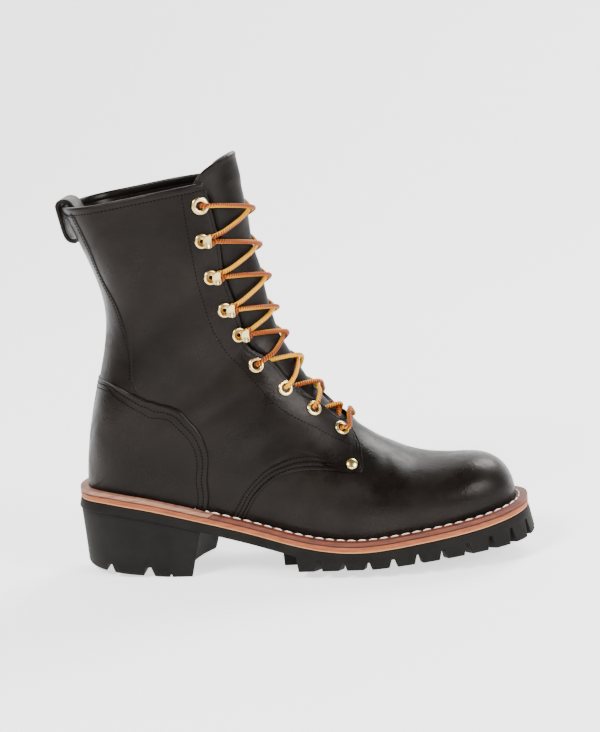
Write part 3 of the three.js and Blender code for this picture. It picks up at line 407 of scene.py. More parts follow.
def leather(name, dark, light, roughness, grain=0.12, rim=None):
    """Oiled leather: clouded colour with lighter patches, partly wear and partly painted
    highlight, pebbled grain with fine pores, drawn wrinkles in patches, and a wax sheen that is
    worn away in places. rim is a paler colour painted as a highlight along a turned edge."""
    finish, coat, add = new_finish(
        name, dark, roughness, Coat_Weight=0.02, Coat_Roughness=0.3, Specular_IOR_Level=0.125,
        Specular_Tint=(1.0, 0.93, 0.88, 1))
    place = add("ShaderNodeTexCoord", out="Object")
    cloud = noise(add, place, 17.0, 4.0)
    # the lightest stop, where the cloud is high: patches partly of wear, partly of painted
    # highlight
    wear_and_highlight = tuple(2.0 * part for part in light)
    colour = shades(add, cloud, [(0.30, dark), (0.55, light), (0.78, wear_and_highlight)])
    # rim: a paler colour painted as a highlight along a turned edge, where the piece's V is high
    if rim:
        colour = towards_rim(add, colour, rim, 0.55, 0.75, 0.0, 1.0)
    haze = noise(add, place, 38.0, 5.0, 0.6)
    sheen = spread(add, haze, 0.34, 0.66, roughness - 0.12, roughness + 0.16)
    pebble = add("ShaderNodeTexVoronoi", {"feature": "SMOOTH_F1"}, Vector=place, Scale=760.0,
                 Smoothness=0.5)
    drawn = add("ShaderNodeMapping", Vector=place, Rotation=(0.3, 0.5, 0.2), Scale=(70, 70, 230))
    wrinkle = noise(add, drawn, 1.0, 6.0, 0.62, 0.8)
    patch = spread(add, cloud, 0.42, 0.62, 0.04, 0.15)
    bump = dents(add, pebble, grain, 0.0005)
    bump = dents(add, noise(add, place, 2300.0, 3.0), grain, 0.0002, Normal=bump)
    bump = dents(add, wrinkle, patch, 0.0012, Normal=bump)
    bump = dents(add, noise(add, place, 60.0, 3.0), 0.22, 0.0016, Normal=bump)
    coat(Base_Color=colour, Roughness=sheen, Normal=bump)
    return finish


black = leather("black oiled leather", (0.0020, 0.0015, 0.0012), (0.0060, 0.0043, 0.0036), 0.33)

# The vamp ends 9 mm under the quarters, and at the foot of the throat between them, with
# its rows closer together towards the toe. Its last 3 mm are pared down by 0.5 mm.
q, v = np.linspace(0, 1, 130)[:, None], np.linspace(-1, 1, 181)[None, :]
THROAT_FOOT, VAMP_UNDER = 0.301, 9.0
lapped = quarter_edge(v) + VAMP_UNDER * ease((np.abs(v) - 0.10) / 0.05)
under = np.where(np.abs(v) < 0.10, THROAT_FOOT * LAST_END, lapped)
at = under * (0.25 * q + 0.75 * q**2)
outer = on_skin(at, v, -0.5 + 0.5 * ease((under - at) / 3))
inner = on_skin(at, v, -LEATHER + 0 * at)
for sheet in (outer, inner):
    sheet[0] = (sheet[0] + sheet[0][::-1]) / 2
make("vamp", *slab(outer, inner, True), black, "black_leather", ["upper"])

# The quarters: one leather each side, 1.2 mm prouder than the vamp, sewn down on it with
# three rows and joined at the back. Their straight front edges leave the throat open and
# carry the metal. A cut edge is a little rounded, and pressed down by the row beside it.
QUARTER_STEP, BINDING_TALL = 1.2, 6.0
COLLAR = np.array([  # top line: x as a share of the upper's length, z as one of the shaft
    (-0.20, 0.855), (0.00, 0.871), (0.14, 0.891), (0.24, 0.909), (0.39, 0.929), (0.60, 0.945)])
THROAT = np.array([  # share along the sections, then half widths as shares of the ball
    # at    gap    tongue
    (0.290, 0.004, 0.140), (0.300, 0.014, 0.150), (0.308, 0.060, 0.160), (0.348, 0.110, 0.205),
    (0.396, 0.152, 0.240), (0.463, 0.190, 0.272), (0.550, 0.225, 0.290), (0.650, 0.255, 0.308),
    (0.764, 0.283, 0.325), (0.870, 0.300, 0.336), (1.000, 0.305, 0.338)])
collar_share = curve(COLLAR[:, 0], COLLAR[:, 1])
throat_gap = curve(THROAT[1:, 0], THROAT[1:, 1])
tongue_half = curve(THROAT[1:, 0], THROAT[1:, 2])


def collar_at(x):
    """Height of the top line."""
    share = (np.minimum(x, along(COLLAR[-1, 0])) - HEEL_BACK) / UPPER_LENGTH
    return HEEL_SEAT + SHAFT_RISE * collar_share(share)


def halve(low, high, below):
    """The place between low and high where below() turns false, by halving 26 times."""
    low, high = np.broadcast_arrays(np.asarray(low, float), np.asarray(high, float))
    low, high = low.copy(), high.copy()
    for _ in range(26):
        middle = (low + high) / 2
        yes = below(middle)
        low, high = np.where(yes, middle, low), np.where(yes, high, middle)
    return (low + high) / 2


def at_collar(v, drop):
    """Place up the boot where a line of constant v comes `drop` mm below the top line."""
    def below(at):
        p = last_point(at, v)
        return p[..., 2] < collar_at(p[..., 0]) - drop
    return halve(0 * v + 0.6 * LAST_END, 0 * v + LAST_END, below)


def v_beside(at, off):
    """v of the place `off` mm sideways from the middle of the front."""
    side, low = np.sign(off), around(0.15)
    middle = (last_point(at, low)[..., 1] + last_point(at, -low)[..., 1]) / 2
    goal = side * (middle + off)
    return side * halve(0 * goal, 0 * goal + 0.6,
                        lambda v: side * last_point(at, side * v)[..., 1] < goal)


def throat_v(at, side):
    """v of the throat's edge, whose gap closes below its foot."""
    share = at / LAST_END
    closing = np.interp(share, THROAT[:2, 0], [0.3, THROAT[1, 1] * BALL_WIDTH])
    gap = np.where(share > THROAT[1, 0], throat_gap(share) * BALL_WIDTH, closing)
    return np.abs(v_beside(at, side * gap))


def finer(length, count, near=(0, 0.25, 0.6, 1.1, 1.7, 2.4, 3.2, 4.1, 5.2, 6.5)):
    """Shares from 0 to 1 of a length in mm, close together near both ends."""
    near = np.asarray(near) / length
    return np.concatenate([near, np.linspace(near[-1], 1 - near[-1], count)[1:-1], 1 - near[::-1]])


def edge_round(e, low=0.5, reach=1.3):
    """Share of full height at e mm from a cut edge: `low` at the edge, 1 from `reach` on."""
    return low + (1 - low) * np.sqrt(1 - (1 - np.clip(e / reach, 0, 1))**2)


def groove(e, rows, deep=0.42, wide=0.62):
    """The leather drawn in under rows of sewing at distances `rows` from the edge."""
    return -deep * sum(np.exp(-((e - row) / wide)**2) for row in rows)


SIDES = (("lat", -1), ("med", 1))
QUARTER_ROWS, FRONT_ROW = (2.2, 4.8, 7.4), 2.0
LINING_OUT = 1.05
for word, side in SIDES:
    p, t = finer(120, 110)[:, None], finer(240, 170)[None, :]
    v, at = np.broadcast_arrays(mix(0.2, 1.0, p), mix(0.35, 0.95, t) * LAST_END)
    for _ in range(5):
        v = mix(throat_v(at, side), 1.0, p)
        at = mix(quarter_edge(v), at_collar(side * v, BINDING_TALL - 1.3), t)
    low_e, front_e = from_quarter_edge(at, v), (v - throat_v(at, side)) * PER_V
    rise = QUARTER_STEP * edge_round(low_e) * edge_round(front_e)
    rise = rise + groove(low_e, QUARTER_ROWS) + groove(front_e, (FRONT_ROW,), 0.12, 0.4)
    # thin where it is drawn in under the welt, and where it laps over the vamp
    flat = last_point(at, side * v)
    rise = mix(0.05, rise, ease((flat[..., 2] - seat(flat[..., 0]) - 3.3) / 1.2))
    under = mix(0.05, -1.0, ease((low_e - VAMP_UNDER - 2) / 3))
    under = np.minimum(under, rise - 0.5)
    quarter = slab(on_skin(at, side * v, rise), on_skin(at, side * v, under))
    make(f"quarter_{word}", *quarter, black, "black_leather", ["upper"])
    at, v = at[::3, ::4], side * v[::3, ::4]
    lining = slab(on_skin(at, v, -LINING_OUT), on_skin(at, v, -LEATHER))
    make(f"lining_{word}", *lining, black, "black_leather")

# The counter: a stiff leather cap over the heel, sewn on with two rows inside its edge,
# which is drawn up into a low bead. Its peak stands just proud of the backstay's foot.
COUNTER_EDGE = np.array([
    (0.736, 0.999), (0.717, 0.864), (0.691, 0.760), (0.665, 0.676), (0.640, 0.600), (0.622, 0.529),
    (0.591, 0.476), (0.552, 0.504), (0.533, 0.535), (0.516, 0.579), (0.505, 0.624), (0.493, 0.700),
    (0.485, 0.785), (0.476, 0.860), (0.470, 1.000)])
COUNTER_LIFT, COUNTER_PEAK, COUNTER_ROWS = 2.7, 0.734, (2.6, 4.8)
UNDER_LEATHER = 0.3  # how far a piece's inner face stands off the last
edge = np.stack([COUNTER_EDGE[:, 0] * LAST_END, around(COUNTER_EDGE[:, 1])], -1)
run = run_along(edge * [1, PER_V])
counter_at, counter_v = (curve(run / run[-1], edge[:, k]) for k in (0, 1))
s, across = np.linspace(0, 1, 130)[:, None], finer(110, 50)
r = np.concatenate([across - 1, (1 - across)[::-1][1:]])[None, :]
WELT_TOP = 3.7


def over_welt(at, v):
    p = last_point(at, v)
    return p[..., 2] - seat(p[..., 0]) > WELT_TOP


def v_over_welt(at, side):
    """v of the place WELT_TOP mm over the seat, or 1 where all of the section is higher."""
    return halve(0 * at + 0.5, 0 * at + 1, lambda v: over_welt(at, side * v))


# Straight lines in (at, v) from the back line, or the featherline's corner, to the edge
edge_a, edge_w = counter_at(s), np.minimum(1, counter_v(s))
low_core = halve(CORNER, AFTER_CORNER, lambda at: ~over_welt(at, 1.0)) + 0.05
core_a = mix(COUNTER_PEAK * LAST_END, low_core, 0.96 * ease(s / 0.62) + 0.04 * s)
at = core_a + np.abs(r) * (edge_a - core_a)
turn = np.where(r < 0, -1.0, 1.0)
apart = 0.012 * (1 - s) * np.sqrt(np.abs(r))  # keeps the rows from meeting on the welt
v = turn * np.minimum(1 + np.abs(r) * (edge_w - 1), v_over_welt(at, turn) - apart)
e = (1 - np.abs(r)) * np.hypot(edge_a - core_a, (edge_w - 1) * PER_V)
ends = np.clip(s * 40, 0, 1) * np.clip((1 - s) * 40, 0, 1)
bead = 0.35 * np.exp(-((e - 1.0) / 0.8)**2) + groove(e, COUNTER_ROWS, 0.2)
rise = mix(UNDER_LEATHER, COUNTER_LIFT, edge_round(e, 0.35, 1.5)) + bead * ends
cap = slab(skin(at, v, rise + 0.5 * crease(at, v)), skin(at, v, UNDER_LEATHER + 0 * e))
make("counter_cap", *cap, black, "black_leather", ["counter"])

# The backstay: a leather strip up the back seam, sewn both sides, from under the counter
# to under the collar's binding.
BACKSTAY_EDGE = np.array([
    (0.674, 0.690), (0.700, 0.720), (0.741, 0.752), (0.784, 0.820), (0.829, 0.890), (0.860, 0.926),
    (0.898, 0.915), (0.944, 0.908), (0.956, 0.902), (1.000, 0.898)])
BACKSTAY_LIFT, BACKSTAY_ROW, STRIP = 2.0, 2.0, (0, 0.25, 0.6, 1.1, 1.7, 2.4, 3.2, 4.2)
backstay_v = curve(BACKSTAY_EDGE[:, 0] * LAST_END, around(BACKSTAY_EDGE[:, 1]))
t, across = np.linspace(0, 1, 90)[None, :], finer(60, 30, STRIP)[:, None]
at, share = np.broadcast_arrays(mix(0.676, 0.95, t) * LAST_END, across * 2 - 1)
for _ in range(4):
    edge = np.minimum(0.985, backstay_v(at))
    v = 1 + share * (1 - edge)
    v = np.where(v > 1, v - 2, v)
    at = mix(0.676 * LAST_END, at_collar(v, BINDING_TALL + 0.3), t)
e = (1 - np.abs(share)) * (1 - edge) * PER_V
rise = mix(UNDER_LEATHER, BACKSTAY_LIFT, edge_round(e, 0.4)) + groove(e, (BACKSTAY_ROW,), 0.2)
strip = slab(on_skin(at, v, rise), on_skin(at, v, UNDER_LEATHER + 0 * e))
make("backstay_strip", *strip, black, "black_leather", ["backstay"])


# The collar's binding: a soft leather roll folded over the top edge and sewn through. Its
# section is a flat oval, fuller at its top, and it closes to nothing at its two ends.
def power(x, p):
    """x to the power p with the sign kept, which squares a circle's sine and cosine."""
    return np.sign(x) * np.abs(x)**p


turns = np.linspace(0, 2 * np.pi, 25)[:-1]
oval_out = (1.7 + 0.25 * np.sin(turns)) * power(np.cos(turns), 0.7)
oval_up = 3.0 * power(np.sin(turns), 0.75)
halves = []
for word, side in SIDES:
    at = np.full(130, 0.9 * LAST_END)
    for _ in range(4):
        v = mix(throat_v(at, side), 1.0, np.linspace(0, 1, 130))
        at = at_collar(side * v, 3.0)
    halves.append(np.stack([at, side * v]))
at, v = np.concatenate([halves[0], halves[1][:, ::-1][:, 1:]], axis=1)
from_end = np.minimum(np.arange(len(at)), np.arange(len(at))[::-1])
ends = np.sqrt(1 - (1 - np.clip((from_end + 0.2) / 3.2, 0, 1)[:, None])**2)
up = unit(skin(at + 1, v, 0 * at) - skin(at - 1, v, 0 * at))
rolled = (on_skin(at, v, 0.1)[:, None] + last_normal(at, v)[:, None] * (oval_out * ends)[..., None]
          + up[:, None] * (oval_up * (0.55 + 0.45 * ends))[..., None])
make("collar_roll", *cord(rolled), black, "black_leather", ["collar_binding"])

# The tongue: soft leather behind the throat, its top rounded and turned over, with a paler colour
# painted as a highlight along the medial side of its top edge. Beside the throat it gives way
# inward where the lace runs between it and the quarters.
TONGUE_THICK, TONGUE_STAND, TONGUE_FOOT = 2.4, 16.0, 0.27
TONGUE_SLOPE, TONGUE_CORNER = 0.75, 0.42
# its paler rim colour is a painted highlight along the tongue's top edge
painted_rim_black = leather("tongue leather", (0.0022, 0.0017, 0.0014), (0.0066, 0.0048, 0.0040), 0.40,
                    rim=(0.045, 0.036, 0.030))
p, t = finer(60, 56, STRIP)[:, None] * 2 - 1, np.linspace(0, 1, 200)[None, :]
at, share = np.broadcast_arrays(mix(TONGUE_FOOT, 0.99, t) * LAST_END, p)
side = np.where(share < 0, -1.0, 1.0)
drop = TONGUE_SLOPE * p**2 + TONGUE_CORNER * p**12
top = collar_at(along(0.4)) + TONGUE_STAND * (1 - drop) - 0.3
for _ in range(2):
    half = tongue_half(np.maximum(0.3, at / LAST_END)) * BALL_WIDTH
    v = side * np.abs(v_beside(at, side * np.maximum(0.02, np.abs(share) * half)))
    high = halve(0.8 * LAST_END, LAST_END + 0 * top,
                 lambda at: last_point(at, v[:, -1:])[..., 2] < top)
    at = mix(TONGUE_FOOT * LAST_END, high, t)
gap = np.where(at > 0.3 * LAST_END, throat_gap(at / LAST_END) * BALL_WIDTH, 0)
beside = np.abs(share) * half - gap
free = ease((at - 0.90 * LAST_END) / 14)
sink = 4.0 * ease((beside + 2.5) / 3.5) * (1 - free) * ease((at / LAST_END - 0.31) / 0.03)
e_top = high - at
rim = 0.5 * np.exp(-((e_top - 2.2) / 1.6)**2) * free
swell = 0.5 * np.cos(share * 2.2) * free
slack = 0.35 * np.sin(at / 9.0 + 2 * share) * (1 - free) * (1 - share**2)
lift = -2.5 - sink + rim + swell + slack
pared = 0.7 * (1 - edge_round(e_top, 0, 1.5))
points, faces = slab(skin(at, v, lift - pared), skin(at, v, lift - TONGUE_THICK + pared))
# V, the mask of the painted highlight, falls from 1 at the top edge to 0 about 6 mm under it, on
# the medial side alone
painted_highlight_v = np.exp(-(e_top / 3.4)**2) * ease((share + 0.45) / 0.5)
uv = np.tile(np.stack([share, painted_highlight_v], -1).reshape(-1, 2), (2, 1))
make("tongue_leather", points, faces, painted_rim_black, "black_leather", ["tongue"], uv=uv[faces])

# The pull loop: a doubled strap of the same leather, sewn inside the back of the collar,
# over the rim and down in a bow, its edges sewn together.
LOOP_WIDE, LOOP_THICK, LOOP_ROW = 25.0, 3.0, 2.4
LOOP = np.array([  # height over the rim, distance behind the back line
    (-24, -7.2), (-12, -7.2), (-2, -7.0), (2.0, -4.8), (2.9, -1.5), (2.0, 1.8), (-2, 3.8),
    (-9, 5.4), (-16, 6.9), (-21, 7.4), (-24.0, 6.0), (-24.6, 2.4)])
rim_z = collar_at(back_line(collar_at(HEEL_BACK)))
bow = curve(np.arange(len(LOOP)), LOOP[:, 0]), curve(np.arange(len(LOOP)), LOOP[:, 1])
s = np.linspace(0, len(LOOP) - 1, 110)
z = rim_z + bow[0](s)
x = back_line(np.minimum(z, rim_z)) - bow[1](s)
strap_line = np.stack([x, 0 * x, z], -1)
way = unit(np.gradient(strap_line, axis=0))
strap_out = np.stack([-way[:, 2], 0 * x, way[:, 0]], -1)
wide = finer(LOOP_WIDE, 14, (0, 0.2, 0.5, 1.0, 1.6, 2.3)) * LOOP_WIDE - LOOP_WIDE / 2
e = LOOP_WIDE / 2 - np.abs(wide)
half = LOOP_THICK / 2 * edge_round(e, 0.35, 1.2) + groove(e, (LOOP_ROW,), 0.18, 0.5)
spine = strap_line[:, None] + wide[:, None] * [0, 1.0, 0]
thick = strap_out[:, None] * half[:, None]
make("pull_strap", *slab(spine + thick, spine - thick), black, "black_leather", ["pull_loop"])

# The midsole: a strip of orange-tan leather fibre, sawn and buffed, glued under the welt.
WELT_THICK, WELT_WIDE, MIDSOLE_THICK = 3.2, 8.2, 4.0
AIR = 0.3  # between two pieces that lie on each other


def fibre(name, dark, light, arris):
    """Buffed leather edge: streaks along the edge, and another colour at the lower edge."""
    finish, coat, add = new_finish(name, dark, 0.6)
    place = add("ShaderNodeTexCoord", out="Object")
    stretch = add("ShaderNodeMapping", Vector=place, Scale=(90, 90, 700))
    streak = noise(add, stretch, 1.0, 5.0, 0.65)
    colour = shades(add, streak, [(0.32, dark), (0.66, light)])
    coat(Base_Color=towards_rim(add, colour, arris, 0.10, 0.30, 0.9, 0.0),
         Normal=dents(add, streak, 0.25, 0.0003))
    return finish


tan = fibre("midsole edge", (0.15, 0.030, 0.007), (0.32, 0.082, 0.020), (0.52, 0.24, 0.09))


def edge_line(side, at):
    """The featherline in plan at places `at`, and the way straight out from it."""
    here = last_point(at, side + 0 * at)
    near, far = np.maximum(0.0, at - 0.4), np.minimum(CORNER, at + 0.4)
    way = last_point(far, side + 0 * at) - last_point(near, side + 0 * at)
    away = unit(np.stack([way[..., 1] * side, way[..., 0] * -side, 0 * at], -1))
    tip = (at <= 0.02)[..., None]
    return here, np.where(tip, [1.0, 0, 0], away)


def bunched(count):
    """Places from the toe to the heel's corner, closer together near both."""
    return CORNER * (1 - np.cos(np.pi * np.arange(count) / (count - 1))) / 2


def sole_ring(grow, height, at=bunched(171)):
    """A ring round the boot: the featherline moved out by `grow`, at height(x)."""
    both = []
    for side in (-1, 1):
        here, away = edge_line(side, at)
        moved = here + away * np.asarray(grow + 0 * at)[..., None]
        moved[..., 2] = height(moved[..., 0])
        both.append(moved)
    return np.concatenate([both[0], both[1][::-1]])


def stack(name, rings, finish, slot, stands_for, rows=None):
    """A solid through rings from bottom to top, its two faces closed by strips across. V is
    the share of its height, or rows."""
    rings = np.array(rings)
    count, n = rings.shape[:2]
    i, top = np.arange(n // 2 - 1), (count - 1) * n
    strip = np.stack([i, i + 1, n - 2 - i, n - 1 - i], -1)
    faces = np.concatenate([grid_faces(count, n, wrap=True)[:, ::-1], strip, strip[:, ::-1] + top])
    row = np.linspace(0, 1, count) if rows is None else np.array(rows)
    uv = np.stack(np.broadcast_arrays(run_along(rings[0]) / 1000, row[:, None]), -1)
    make(name, rings, faces, finish, slot, stands_for, uv=uv.reshape(-1, 2)[faces])


def wall_levels(low, high, corner):
    """(height, inset) pairs up a wall from low to high, with a small round at each end."""
    a = np.linspace(0, np.pi / 2, 5)
    rise, inset = corner * (1 - np.sin(a)), corner * (1 - np.cos(a))
    return [*zip(low + rise[::-1], inset[::-1]), *zip(high - rise, inset)]


levels = wall_levels(-MIDSOLE_THICK, 0.0, 0.5)
rings = [sole_ring(WELT_WIDE - inset, lambda x: seat(x) + h) for h, inset in levels]
rows = [h / MIDSOLE_THICK + 1 for h, _ in levels]
stack("midsole_band", rings, tan, "brown_leather", ["midsole"], rows)

# The welt: a strip of reddish leather sewn round the forefoot to the back of the waist.
# Its lower edge lies on the midsole, its inner edge against the leather of the upper.
SPLICE, SPLICE_LEAN = along(0.30), 260.0 / 300.0
brown = fibre("welt edge", (0.050, 0.010, 0.0045), (0.14, 0.028, 0.010), (0.025, 0.008, 0.004))


def against_upper(at, side, here, height, away, off):
    """The line where the leather is `height` over the seat, moved `off` mm out from it."""
    tall = np.maximum(4.0, last_point(at, 0 * at)[..., 2] - here[..., 2])
    line = last_point(at, side * around(1 - height / tall)) + away * off
    line[..., 2] = seat(line[..., 0]) + height
    return line


def welt_piece(name, at_lo, at_hi, lean_lo, lean_hi, finish, stands_for):
    """A strip between two places along the boot. Its section runs from the inner foot, out
    along the midsole, up the edge and back in to the leather. The ends lean with height."""
    low, high = AIR, AIR + WELT_THICK
    wall = [(h, WELT_WIDE - inset) for h, inset in wall_levels(low, high, 0.55)]
    section = [(low, None), *wall, (high, None)]
    halves = []
    for side in (-1, 1):
        column = []
        for h, grow in section:
            lean = h - (low + high) / 2
            at = mix(at_lo + lean_lo * lean, at_hi + lean_hi * lean, np.linspace(0, 1, 260))
            at = np.clip(at, 0, CORNER)
            here, away = edge_line(side, at)
            if grow is None:
                column.append(against_upper(at, side, here, h + 1e-3, away, AIR))
            else:
                column.append(here + away * grow)
            column[-1][..., 2] = seat(column[-1][..., 0]) + h
        halves.append(np.array(column))
    if at_lo == 0:
        halves = [half[:, ::-1] for half in halves]
    ring = np.concatenate([halves[0], halves[1][:, ::-1][:, 1:]], axis=1)
    rows, cols = ring.shape[:2]
    k = np.arange(1, rows - 1)
    cap = np.stack([0 * k, k, k + 1, k + 1], -1)
    faces = np.concatenate([grid_faces(cols, rows, wrap=True), cap[:, [0, 2, 1, 1]],
                            cap + (cols - 1) * rows])
    heights = np.array([(h - low) / WELT_THICK for h, _ in section])
    uv = np.broadcast_arrays(np.linspace(0, 0.8, cols)[:, None], heights)
    make(name, ring.transpose(1, 0, 2), faces, finish, "brown_leather", stands_for,
         uv=np.stack(uv, -1).reshape(-1, 2)[faces])


def place_of(x):
    """Place of x along the medial featherline."""
    at = np.linspace(0, CORNER, 400)
    return np.interp(-x, -last_point(at, 1.0)[..., 0], at)


splice_at = place_of(SPLICE)
welt_piece("welt_strip", 0.0, splice_at - 0.2, 0.0, -SPLICE_LEAN, brown, ["welt"])

# The heel rand: the welt's other half, a paler strip round the heel, cut on the slant
# where it meets the welt.
rand = fibre("rand edge", (0.12, 0.044, 0.026), (0.34, 0.165, 0.105), (0.06, 0.022, 0.012))
welt_piece("heel_strip", splice_at + 0.2, CORNER, -SPLICE_LEAN, 0.0, rand, ["heel_rand"])

# The insole: the leather board that the foot stands on, seen only down the shaft.
insole_tan = leather("insole board", (0.36, 0.24, 0.14), (0.28, 0.19, 0.11), 0.7, 0.05)
levels = ((0.3, 3.6), (0.7, 3.2), (2.9, 3.2), (3.3, 3.6))
rings = [sole_ring(-inset, lambda x: seat(x) + h) for h, inset in levels]
stack("insole_board", rings, insole_tan, "insole_leather", ["insole"])

# The outsole: one black rubber moulding. Its sheet follows the welt, and block lugs stand
# round the edge of the forefoot, with leaning pairs of blocks down the middle.
SHEET_THICK, SHEET_FLARE, TOE_SPRING, CROWN = 6.3, 1.6, 14.5, 5.2
TREAD_MIDDLE, BLOCK_REACH = 0.03 * BALL_WIDTH, 0.20 * BALL_WIDTH
BLOCK_LONG, BLOCK_PITCH = 11.0, 19.0
LUG_PITCH, LUG_DEEP, LUG_FLARE, NOTCH_WIDE, LUG_END = 17.0, 16.0, 2.5, 5.6, along(0.475)
SOOT, DUST = (0.0030, 0.0026, 0.0021), (0.0085, 0.0072, 0.0058)
rubber, coat, add = new_finish("black rubber", (0.006, 0.0055, 0.0045), 0.66,
                               Specular_IOR_Level=0.13)
place = add("ShaderNodeTexCoord", out="Object")
coat(Base_Color=shades(add, noise(add, place, 35.0, 6.0, 0.7), [(0.35, SOOT), (0.75, DUST)]),
     Normal=dents(add, noise(add, place, 1500.0, 3.0), 0.10, 0.0003))


def sheet_top(x):
    return seat(x) - MIDSOLE_THICK - AIR


def sheet_low(x):
    return sheet_top(x) - SHEET_THICK


def tread(x, y):
    """Height of the forefoot's tread: springs up at the toe and rounds up to the sides."""
    toe = np.clip(((x - HEEL_BACK) / UPPER_LENGTH - 0.67) / 0.37, 0, 1)**1.3
    beside = np.maximum(0, np.abs(y - TREAD_MIDDLE) - BLOCK_REACH) / (0.33 * BALL_WIDTH)
    return TOE_SPRING * toe + CROWN * beside**1.5


def moulded(name, solids, width):
    """Rubber blocks with rounded corners, `width` mm."""
    piece = make(name, *gather(solids), rubber, "rubber", sharp=30)
    corners = piece.modifiers.new("round", "BEVEL")
    corners.width, corners.segments = width * 0.001, 2
    corners.limit_method, corners.angle_limit = "ANGLE", np.radians(50)


# The sheet's edge has fine upright ribs pressed into it at the waist
fine = bunched(701)
waist = last_point(fine, 1.0)[..., 0]
comb = 0.35 * ease((waist - along(0.335)) / 4) * ease((LUG_END - waist) / 4)
ribs = comb * (0.5 - 0.5 * np.cos(2 * np.pi * waist / 2.1))
rings = []
for h, inset in wall_levels(-SHEET_THICK, 0.0, 0.7):
    grow = WELT_WIDE - SHEET_FLARE * h / SHEET_THICK - inset - ribs * (-5.8 < h < -0.6)
    rings.append(sole_ring(grow, lambda x: sheet_top(x) + h, fine))
stack("sole_sheet", rings, rubber, "rubber", ["outsole"])

# Each lug widens from the tread up to the sheet, where the notches between them are narrow
lugs = []
for side in (-1, 1):
    here, away = edge_line(side, np.linspace(0, CORNER, 3000))
    line = here + away * (WELT_WIDE + SHEET_FLARE - AIR)
    length = run_along(line[:, :2])
    middle = (np.arange(30) + 0.5) * LUG_PITCH
    middle = middle[read_along(line, length, middle)[:, 0] > LUG_END]
    grids = []
    for half, out, deep in ((LUG_PITCH / 2 - 0.5, 0.0, LUG_DEEP),
                            ((LUG_PITCH - NOTCH_WIDE) / 2, LUG_FLARE, LUG_DEEP - 1.5)):
        # Past the tip the line runs on round the other side, so the first lugs don't cross
        at = np.abs(middle[:, None] + half * np.linspace(-1, 1, 5))
        place, way = read_along(line, length, at), unit(read_along(away, length, at))
        moved = place[:, None] + way[:, None] * np.reshape([out, -deep / 2, -deep], (3, 1, 1))
        x, y = moved[..., 0], moved[..., 1]
        moved[..., 2] = tread(x, y) if grids else sheet_low(x) + 1
        grids.append(moved)
    lugs += [(points, quads[:, ::side]) for points, quads in map(slab, *grids)]
moulded("edge_lugs", lugs, 0.55)

blocks = []
for x in np.arange(along(0.495), along(0.93), BLOCK_PITCH):
    wide = BLOCK_REACH * min(1, (along(1.02) - x) / (0.2 * UPPER_LENGTH))
    span = np.linspace(1, wide, 4)[None, :]
    for side in (-1, 1):
        grids = []
        for grow in (0.6, -0.3):
            px = x + np.array([-1.0, 0, 1.0])[:, None] * (BLOCK_LONG / 2 + grow) - 0.35 * span
            py = TREAD_MIDDLE + side * span + 0 * px
            grids.append(np.stack([px, py, tread(px, py) if grids else sheet_low(px) + 1], -1))
        points, quads = slab(*grids)
        blocks.append((points, quads[:, ::side]))
moulded("centre_blocks", blocks, 0.5)

# The heel: a separate rubber block under the sheet. It tapers to the floor, its breast is
# hollow in plan and leans, and grooves cross its tread.
HEEL_LONG, HEEL_TAPER, BREAST_HOLLOW, BREAST_SWING, BREAST_LEAN = 80.0, 5.5, 8.0, 8.0, 11.0
BREAST_HALF = 0.33 * BALL_WIDTH
HEEL_GROOVES = ((-48.0, 6.5, 6.0), (-20.0, 8.0, 6.5), (-4.6, 2.4, 2.2))  # x, wide, deep
HEEL_ROWS, HEEL_COLS = 60, 22


def heel_tread(x):
    return np.maximum(0, 5.5 * (-5 - x) / 65)


def breast(y, z):
    """x of the breast."""
    t = y / BREAST_HALF
    bow = BREAST_SWING * (t + 1) / 2 - BREAST_HOLLOW * (1 - t * t)
    return HEEL_BACK - WELT_WIDE + HEEL_LONG + bow + z * BREAST_LEAN / HEEL_SEAT


def heel_side(side, at, h, inset):
    """The heel's side at a share h of its height."""
    here, away = edge_line(side, at)
    small = WELT_WIDE + 0.5 - HEEL_TAPER * np.abs(away[..., 1]) - 1.2 * np.abs(away[..., 0])
    moved = here + away * (mix(small, WELT_WIDE + 0.5, h) - inset)[..., None]
    moved[..., 2] = mix(heel_tread(moved[..., 0]), sheet_low(moved[..., 0]) - AIR, h)
    return moved


search = np.linspace(0.45 * CORNER, CORNER, 900)
s, u = np.linspace(0, 1, HEEL_ROWS), np.linspace(0, 1, HEEL_COLS)
levels = [(0.0, 0.9), (0.012, 0.45), (0.03, 0.12), (0.06, 0.0), (0.15, 0.0), (0.3, 0.0),
          (0.45, 0.0), (0.6, 0.0), (0.75, 0.0), (0.88, 0.0), (0.96, 0.0), (1.0, 0.5)]
layers = []
for h, inset in levels:
    sides = []
    for side in (-1, 1):
        moved = heel_side(side, search, h, inset)
        start = np.interp(0, breast(moved[:, 1], moved[:, 2]) - moved[:, 0], search)
        sides.append(heel_side(side, mix(start, CORNER, 1 - (1 - s)**1.6), h, inset))
    across = mix(sides[0][:, None], sides[1][:, None], u[None, :, None])
    # the first row lies on the breast, and the bow fades out behind it
    bow = breast(across[:1, :, 1], across[:1, :, 2]) - across[:1, :, 0]
    across[..., 0] += bow * (1 - s[:, None])**6
    across[..., 2] = mix(heel_tread(across[..., 0]), sheet_low(across[..., 0]) - AIR, h)
    layers.append(across.reshape(-1, 3))
rim, cells = border(HEEL_ROWS, HEEL_COLS), grid_faces(HEEL_ROWS, HEEL_COLS)
count, face = len(layers) * len(rim), HEEL_ROWS * HEEL_COLS
points = np.concatenate([layer[rim] for layer in layers] + [layers[0], layers[-1]])
faces = np.concatenate([grid_faces(len(layers), len(rim), wrap=True), cells[:, ::-1] + count,
                        cells + count + face])
heel = make("heel_block", points, faces, rubber, "rubber", ["heel"], 35)
